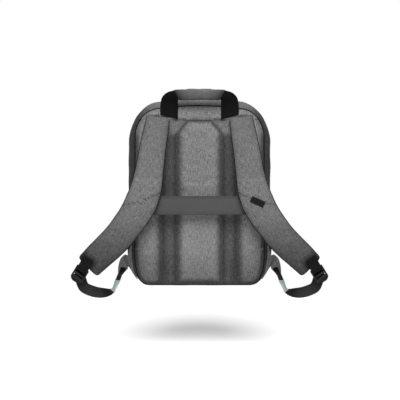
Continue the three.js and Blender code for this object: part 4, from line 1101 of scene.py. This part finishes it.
# From a strap's top to its lower end: out, down, off, width, thick
STRAP_ROWS = (
    (0, 0, 0, 0.79, 0.3), (0.012, 0.04, 0.2, 0.8, 0.7), (0.03, 0.095, 0.3, 0.84, 1),
    (0.071, 0.2, 0.52, 0.88, 1), (0.129, 0.385, 0.84, 0.96, 1), (0.167, 0.477, 1.02, 1.04, 1),
    (0.233, 0.566, 1.12, 1.08, 1), (0.333, 0.654, 1.16, 1.04, 1), (0.45, 0.73, 1.16, 1, 1),
    (0.564, 0.8, 1.1, 1, 1), (0.705, 0.868, 1, 0.98, 1), (0.852, 0.932, 0.84, 0.95, 1),
    (1, 1, 0.68, 0.9, 0.95),
)
# Round end past the last row: ahead and less as shares of the thickness, thick
STRAP_TIP = (
    (0.12, 0.06, 0.99), (0.25, 0.2, 0.95), (0.35, 0.45, 0.9),
    (0.42, 0.75, 0.8), (0.47, 1.1, 0.68), (0.5, 1.6, 0.5),
)
# Painted shade on a strap, deeper towards its lower end, which hangs in the bag's shade: height, share of
# its colour
STRAP_PAINTED_SHADE = (
    (40, 0.25), (60, 0.3), (80, 0.37), (108, 0.48), (154, 0.7), (215, 0.8), (340, 0.75), (381, 0.66),
)
# The seam across a strap: its place along the middle, and how much further it is at the outer edge
SEAM_ALONG, SEAM_SLANT = 194, 29


def stations_along(rows, count):
    """Centre, run, across and front of a band along a smooth line, with its width and thickness."""
    shares = np.linspace(0, 1, count + 1)
    at = catmull(rows[:, :3], shares)
    ahead, back = [catmull(rows[:, :3], np.clip(shares + step, 0, 1)) for step in (1e-4, -1e-4)]
    run = unit(ahead - back)
    width, thick, twist = values_at(shares * (len(rows) - 1), range(len(rows)), rows[:, 3:]).T
    flat = unit(np.stack([-run[:, 2], 0 * twist, run[:, 0]], axis=1))
    turned = -np.sign(twist)[:, None] * FRONTWARDS
    across = flat * (1 - np.abs(twist))[:, None] + turned * np.abs(twist)[:, None]
    across = unit(across - (across * run).sum(1, keepdims=True) * run)
    front = unit(np.cross(run, across))
    return {"at": at, "run": run, "across": across, "front": front, "width": width, "thick": thick}


def strap_rows(sign):
    out, down, off, width, thick = np.array(STRAP_ROWS).T
    x = STRAP_TOP_OUT + (STRAP_END_OUT - STRAP_TOP_OUT) * out
    z = STRAP_TOP + (STRAP_END_UP - STRAP_TOP) * down
    y = -(YOKE_FRONT + (BAND_FRONT - YOKE_FRONT) * off + GAP) - thick * STRAP_THICKNESS / 2
    return np.stack([sign * x, y, z, width * STRAP_WIDTH, thick * STRAP_THICKNESS, 0 * x], axis=1)


def strap_stations(sign):
    s = stations_along(strap_rows(sign), STRAP_STEPS)
    end = {key: value[-1] for key, value in s.items()}
    for ahead, less, thick in STRAP_TIP:
        tip = {
            **end,
            "at": end["at"] + end["run"] * ahead * STRAP_THICKNESS,
            "width": end["width"] - less * STRAP_THICKNESS,
            "thick": end["thick"] * thick,
        }
        s = {key: np.concatenate([s[key], np.asarray(tip[key])[None]]) for key in s}
    s["outwards"] = s["across"] * np.sign(s["across"][:, :1]) * sign
    s["front"] = s["front"] * -np.sign(s["front"][:, 1:2])
    return s


def make_strap(name, sign):
    """Foam strap with a pinched, bound edge and a seam across its middle."""
    s = strap_stations(sign)
    around = angles_round(48, 0.5)
    u, v = squarish(np.cos(around), 0.62), squarish(np.sin(around), 0.8)
    rim = np.abs(u)
    sideways = u[None, :, None] * (s["width"] / 2 - 0.6)[:, None, None] * s["outwards"][:, None]
    along = way_along(s["at"])
    seam = bell(along[:, None] - (SEAM_ALONG + SEAM_SLANT * u), 1.6) * (v > 0)
    thick = s["thick"][:, None] / 2 * v * (1 - 0.14 * seam)
    grid = s["at"][:, None] + sideways + thick[..., None] * s["front"][:, None]
    puckers = rim ** 6 * ripple(grid, 9, 0.6, 2.5 + sign) + ripple(grid, 45, 0.4, 8.2 + sign)
    grid = grid + (np.sign(v) * puckers * (1 - rim ** 24))[..., None] * s["front"][:, None]
    # Painted shade: deeper towards the lower end, at the rounded edges, in the seam across the middle and
    # round the webbing at the end
    tone = from_table(STRAP_PAINTED_SHADE, grid[..., 2]) * (1 - 0.4 * rim ** 7) * (1 - 0.7 * seam)
    tone = tone * (1 - 0.9 * end_painted_shade(grid, buckle_frame(s)))
    ends = smooth_step(0, 25, along) * smooth_step(0, 14, along[-1] - along)
    loose = (1 - rim ** 5) * ends[:, None] * (1 - 0.8 * seam)
    grid = swell(grid, loose, 2, 1.6, pressure=3, spare=0.012)
    made = grid_object(f"strap_{name}", grid, wrap=True, caps=True)
    paint_light_and_shade(made.data, tone)
    dress(made, PAD_CLOTH, "pad_fabric", f"shoulder_strap_{name}")
    bind_strap(name, s)
    s["surface"] = grid.reshape(-1, 3)
    return s


def end_painted_shade(grid, f):
    """How much painted shade round the sewn webbing lies on each point of a strap: a soft dark patch at its
    end.
    """
    up = -(grid - f["at"]) @ f["along"] - BUCKLE_LENGTH / 2 - BUCKLE_GAP
    aside = np.abs((grid - f["at"]) @ f["out"])
    return (1 - smooth_step(14, 36, up)) * (1 - smooth_step(11, 27, aside))


def bind_strap(name, s):
    """Thin dark cord sewn into the strap's side seam, round its lower end."""
    below_top = slice(4, None)
    at = s["at"][below_top]
    reach = s["outwards"][below_top] * (s["width"][below_top, None] / 2 - 0.5)
    line = resample(np.vstack([at + reach, (at - reach)[::-1]]), 420)
    dress(tube(f"strap_edge_{name}", line, 1.1, 8), BINDING, "black_fabric")


TAG_LENGTH, TAG_WIDTH, TAG_TURN, TAG_STATION = 32, 14, math.radians(24), 75


def make_tag(s):
    """Blank woven label sewn on the right strap."""
    at, front = s["at"][TAG_STATION], s["front"][TAG_STATION]
    down = np.array([math.cos(TAG_TURN), 0, -math.sin(TAG_TURN)])
    down = unit(down - down.dot(front) * front)
    a, b = np.meshgrid(np.linspace(-0.5, 0.5, 24), np.linspace(-0.5, 0.5, 12), indexing="ij")
    around = s["surface"] - at
    near = np.linalg.norm(np.cross(around, front), axis=1) < TAG_LENGTH / 2
    lift = (around[near] @ front).max() + 0.5 + 0.25 * np.cos(a * math.pi) * np.cos(b * math.pi)
    places = np.stack([a * TAG_LENGTH, b * TAG_WIDTH, lift], axis=2)
    made = grid_object("strap_tag_cloth", at + places @ np.array([down, np.cross(down, front), front]))
    dress(thicken(made, 0.9, 1), TAG_CLOTH, "black_fabric", "strap_tag")


# Buckles and webbing


def buckle_frame(s):
    """The buckle's middle and its directions. It hangs a little steeper than the strap's end."""
    run, aside = s["run"][-1], s["outwards"][-1]
    along = run * math.cos(BUCKLE_TURN) - aside * math.sin(BUCKLE_TURN)
    out = aside * math.cos(BUCKLE_TURN) + run * math.sin(BUCKLE_TURN)
    at = s["at"][-1] + run * BUCKLE_GAP + aside * BUCKLE_SIDEWAYS + along * BUCKLE_LENGTH / 2
    front = np.cross(along, out)
    return {"at": at, "along": along, "out": out, "front": front * -np.sign(front[1])}


def in_frame(f, along, out, front):
    """Points given by their distances from a buckle's middle in its three directions."""
    places = np.stack(np.broadcast_arrays(along, out, front), axis=-1)
    return f["at"] + places @ np.array([f["along"], f["out"], f["front"]])


# Along a bar: share of its length, share of its thickness
BAR_RINGS = ((0, 0.55), (0.02, 0.85), (0.06, 1), (0.94, 1), (0.98, 0.85), (1, 0.55))
# Where the lip starts, as a share of the way from the buckle's middle to its end
LIP_START = 0.42


def rounded_bar(f, start, end, radii):
    """Rings of a bar between two points in a buckle's plane, with an oval section: wide, front."""
    start, end = np.array(start), np.array(end)
    wide = unit(end - start)[::-1, None]
    around = angles_round(12)
    across, front = [squarish(values, 0.6) for values in (np.cos(around), np.sin(around))]
    rings = []
    for share, size in BAR_RINGS:
        centre = (start + (end - start) * share)[:, None]
        rings.append(in_frame(f, *(centre + wide * across * radii[0] * size), front * radii[1] * size))
    return rings


def make_buckle(name, f):
    """Ladder lock: two rails, two round bars and a broad rounded lip that is lifted to let go."""
    half, end = BUCKLE_WIDTH / 2, BUCKLE_LENGTH / 2
    bars = []
    for out in (RAIL_HALF - half, half - RAIL_HALF):
        radii = (RAIL_HALF, BUCKLE_THICKNESS * 0.62)
        bars.append(rounded_bar(f, (0.5 - end, out), (end * 0.66, out), radii))
    for along, radii in ((2.6 - end, (2.4, 2.5)), (-0.6, (2.3, 2.6)), (end * LIP_START, (3.0, 2.3))):
        bars.append(rounded_bar(f, (along, 0.8 - half), (along, half - 0.8), radii))
    made = forms_object(f"buckle_{name}", bars)
    join(made, buckle_lip(f))
    dress(made, PLASTIC, "black_plastic", f"ladder_buckle_{name}")


def buckle_lip(f):
    """Lip at the lower end: a plate with a rounded outline, turned a little to the front."""
    columns = np.linspace(-1, 1, 17)
    rows = []
    for share in np.linspace(0, 1, 10):
        along = BUCKLE_LENGTH / 2 * (LIP_START + (1 - LIP_START) * share)
        wide = (BUCKLE_WIDTH / 2 - 0.4) * (1 - share ** 3.5 * 0.62)
        front = 0.4 + 1.6 * share ** 2 + 0.25 * np.cos(share * 9 * math.pi) * (share < 0.9)
        rows.append(in_frame(f, along, columns * wide, front - 0.5 * columns ** 2))
    lip = thicken(grid_object("buckle_lip", rows), 3.4, 1)
    bake_modifiers(lip)
    return lip


def ribbon(name, at, across):
    """Webbing along a line of points, with a slightly rounded edge."""
    places = np.linspace(-0.5, 0.5, 11) * WEBBING_WIDTH
    grid = at[:, None] + places[None, :, None] * across[:, None]
    uv = np.stack(np.meshgrid(places + WEBBING_WIDTH / 2, lengths(grid, 0)), axis=2)
    return thicken(grid_object(name, grid, uv=uv), WEBBING_THICKNESS, 1)


def make_strap_end(name, f):
    """Webbing sewn on the strap's face, which turns back through the buckle's upper slot."""
    end = BUCKLE_LENGTH / 2
    clear = (BUCKLE_THICKNESS + WEBBING_THICKNESS) / 2 + GAP
    slot_length = (BUCKLE_LENGTH - 2 * BUCKLE_BAR - BUCKLE_LENGTH * 0.3) / 2
    slot = -end + BUCKLE_BAR + slot_length / 2
    bar = -end + BUCKLE_BAR * 0.5
    face = STRAP_THICKNESS / 2 + GAP + WEBBING_THICKNESS
    start = -end - BUCKLE_GAP - PATCH_LENGTH
    points = (
        (start, face), (start + PATCH_LENGTH * 0.7, face),
        (-end - BUCKLE_GAP * 0.5, clear + (face - clear) * 0.45), (bar, clear + GAP),
        (slot - 1.4, clear + GAP), (slot, clear * 0.5), (slot, -clear * 0.5),
        (slot - 1.4, -clear - GAP), (bar, -clear - GAP), (-end - BUCKLE_GAP * 0.4, -clear),
    )
    line = [in_frame(f, along, 0, front) for along, front in points]
    at = catmull(line, np.linspace(0, 1, 70))
    made = ribbon(f"strap_end_tape_{name}", at, np.tile(f["out"], (70, 1)))
    # Painted shade on the tape's black webbing
    paint_light_and_shade(made.data, SHADED_WEBBING)
    dress(made, WEBBING, "black_webbing", f"strap_end_webbing_{name}")


# From the buckle down through a loop and up to the flap: to_bag, deep, rise, drop, twist
LOOP_ROWS = (
    (-0.008, 0, 0, -0.14, 0.02), (0, 0, 0, 0, 0.03), (0.043, 0.05, 0, 0.412, 0.08),
    (0.087, 0.09, 0, 0.619, 0.1), (0.157, 0.14, 0, 0.743, 0.12), (0.254, 0.21, 0, 0.851, 0.16),
    (0.36, 0.28, 0, 0.944, 0.26), (0.488, 0.37, 0, 0.996, 0.38), (0.604, 0.46, 0, 1, 0.5),
    (0.708, 0.55, 0, 0.949, 0.66),
    (0.785, 0.64, 0, 0.836, 0.86), (0.847, 0.74, 0.1, 0.581, 0.78), (0.889, 0.83, 0.3, 0.41, 0.68),
    (0.945, 0.93, 0.7, 0.222, 0.7), (1, 1, 1, 0, 0.4),
)
# In the buckle's frame: where the loop starts, and where its end comes from
LOOP_START, BEHIND_BUCKLE = (5, -4, -5.85), (-15, 0, -5.4)
LOOP_STEPS = 170
KEEPER_STATIONS = slice(118, 146)
# Painted light and shade along the webbing, brighter where its face turns up to the light and darker in
# shade: share of the way, share of its colour
LOOP_PAINTED_LIGHT_AND_SHADE = ((0, 0.3), (0.1, 0.3), (0.22, 1.5), (0.4, 2.6), (0.52, 2.2), (0.62, 0.6), (0.7, 0.3), (1, 0.3))


def make_lower_webbing(name, sign, f):
    start = in_frame(f, *LOOP_START)
    way = np.array(FLAP_TIP) * (sign, 1, 1) - start
    to_bag, deep, rise, drop, twist = np.array(LOOP_ROWS).T
    places = start + way * np.stack([to_bag, deep, rise], axis=1) - np.outer(drop * WEBBING_SAG, UPWARDS)
    width, thick = np.full(len(drop), WEBBING_WIDTH), np.full(len(drop), WEBBING_THICKNESS)
    rows = np.column_stack([places, width, thick, -sign * twist])
    above = [*in_frame(f, *BEHIND_BUCKLE), *rows[0, 3:]]
    s = stations_along(np.vstack([above, rows]), LOOP_STEPS)
    made = ribbon(f"webbing_loop_{name}", s["at"], s["across"])
    tone = from_table(LOOP_PAINTED_LIGHT_AND_SHADE, np.linspace(0, 1, LOOP_STEPS + 1))
    paint_light_and_shade(made.data, np.repeat(tone, len(made.data.vertices) // len(tone)))
    dress(made, WEBBING, "black_webbing", f"lower_webbing_{name}")
    make_keeper(name, s)


def make_keeper(name, s):
    """Pale woven sleeve that holds the webbing's folded end."""
    at, across, front = [s[key][KEEPER_STATIONS, None] for key in ("at", "across", "front")]
    around = angles_round(40)
    half, deep = WEBBING_WIDTH / 2 + 1.2, WEBBING_THICKNESS / 2 + 1.3
    u, v = squarish(np.cos(around), 0.3) * half, squarish(np.sin(around), 0.6) * deep
    puff = 1 + 0.25 * np.sin(np.linspace(0, math.pi, len(at)))
    grid = at + u[None, :, None] * across + np.outer(puff, v)[..., None] * front
    made = grid_object(f"keeper_sleeve_{name}", grid, wrap=True, caps=True)
    dress(made, KEEPER, "keeper_fabric", f"webbing_keeper_{name}")


# Rows of the flap on the bag's side: depth, low, high, over_pocket
FLAP_ROWS = ((0.03, 0, 1, 0), (0.06, 0.1, 0.88, 0), (0.15, 0.3, 0.66, 1))
# Lower and upper end of each line across the flap, from its fold to its sewn end
FLAP_FOLDS = (
    ((166, 23, 43), (170, 22, 69)), ((164, 19, 41), (180, 17, 61)), ((164, 20, 37), (185, 18, 48)),
    ((171, 21, 29), (187, 20, 34)), ((180, 22, 18), (187.5, 21, 21)),
)


def make_flap(name, sign):
    """Cloth tongue sewn round the end of the webbing, folded off the bag's side."""
    shares = np.linspace(0, 1, 7)
    rows = []
    for depth, low, high, over in FLAP_ROWS:
        lift = FLAP_THICKNESS / 2 + 6 * GAP + over * 1.8
        heights = FLAP_FOOT + (FLAP_TOP - FLAP_FOOT) * (low + (high - low) * shares)
        rows.append([side_point(depth, z, lift) for z in heights])
    rows += [np.array(low) + shares[:, None] * (np.array(high) - low) for low, high in FLAP_FOLDS]
    columns = (np.array(rows) * (sign, 1, 1)).transpose(1, 0, 2)
    fine = np.array([catmull(column, np.linspace(0, 1, 40)) for column in columns])
    fine = np.array([catmull(row, np.linspace(0, 1, 28)) for row in fine.transpose(1, 0, 2)])
    fine = fine + ripple(fine, 16, 0.35, 4.0 + sign)[..., None] * FRONTWARDS
    made = grid_object(f"flap_{name}", fine)
    # Painted light: the flap's cloth made brighter than the body's
    paint_light_and_shade(made.data, 1.25)
    dress(thicken(made, FLAP_THICKNESS, 1), BODY_CLOTH, "body_fabric", f"anchor_flap_{name}")


# Stage

FLOOR_RADIUS, FLOOR_BELOW = 0.8, 150
# Brightness of the room round the bag, and of the backdrop behind it
ROOM, BACKDROP = 0.27, 1.0


def make_stage():
    """Pale round floor under the hanging bag."""
    level = to_metres([0, 0, -FLOOR_BELOW])[2]
    rim = [(FLOOR_RADIUS * math.cos(a), FLOOR_RADIUS * math.sin(a), level) for a in angles_round(96)]
    mesh = bpy.data.meshes.new("floor")
    mesh.from_pydata(rim, [], [list(range(len(rim)))])
    floor = bpy.data.objects.new("floor", mesh)
    bpy.context.scene.collection.objects.link(floor)
    s = Shader("floor_paint", 0.9, Specular_IOR_Level=0.1)
    grain = s.noise(s.place(), (400, 400, 400))
    mesh.materials.append(s.paint(s.ramp(grain, [(0.3, (0.9, 0.9, 0.9)), (0.7, (0.92, 0.92, 0.92))])))


def add_sun(name, towards, angle, strength):
    """Light from far away, from the given direction, softened over an angle."""
    data = bpy.data.lights.new(name, "SUN")
    data.angle, data.energy = math.radians(angle), strength
    made = bpy.data.objects.new(name, data)
    made.rotation_euler = Vector(towards).to_track_quat("-Z", "Y").to_euler()
    bpy.context.scene.collection.objects.link(made)


def make_lights():
    """A dim room with a white backdrop, and soft light from high in front."""
    world = bpy.data.worlds.new("studio")
    bpy.context.scene.world = world
    world.use_nodes = True
    tree = world.node_tree
    background = tree.nodes["Background"]
    background.inputs["Color"].default_value = (1, 1, 1, 1)
    direction = tree.nodes.new("ShaderNodeTexCoord").outputs["Generated"]
    split = tree.nodes.new("ShaderNodeSeparateXYZ")
    spread = tree.nodes.new("ShaderNodeMapRange")
    for key, value in {"From Min": 0.75, "From Max": 0.92, "To Min": ROOM, "To Max": BACKDROP}.items():
        spread.inputs[key].default_value = value
    tree.links.new(direction, split.inputs[0])
    tree.links.new(split.outputs["Y"], spread.inputs["Value"])
    tree.links.new(spread.outputs[0], background.inputs["Strength"])
    add_sun("key", (0, 0.6, -0.8), 50, 3.9)
    add_sun("behind_left", (0.5, -0.62, -0.6), 40, 0.7)
    add_sun("behind_right", (-0.5, -0.62, -0.6), 40, 0.7)
    bpy.context.scene.view_settings.view_transform = "Standard"


def make_camera():
    data = bpy.data.cameras.new("camera")
    data.sensor_width, data.lens = 36, 83.6
    made = bpy.data.objects.new("camera", data)
    target = Vector((0.0011, 0.0238, 0.0095))
    made.location = (0.0011, -2.0711, 0.156)
    made.rotation_euler = (target - made.location).to_track_quat("-Z", "Y").to_euler()
    bpy.context.scene.collection.objects.link(made)
    bpy.context.scene.camera = made


make_camera()
make_lights()
make_stage()
make_back_panel()
make_skin()
make_zip_ring()
make_front()
for side_name, side_sign in SIDES:
    make_side_pocket(side_name, side_sign)
bevel_sliders()
make_band()
make_handle()
for side_name, side_sign in SIDES:
    strap = make_strap(side_name, side_sign)
    if side_sign > 0:
        make_tag(strap)
    lock = buckle_frame(strap)
    make_buckle(side_name, lock)
    make_strap_end(side_name, lock)
    make_lower_webbing(side_name, side_sign, lock)
    make_flap(side_name, side_sign)
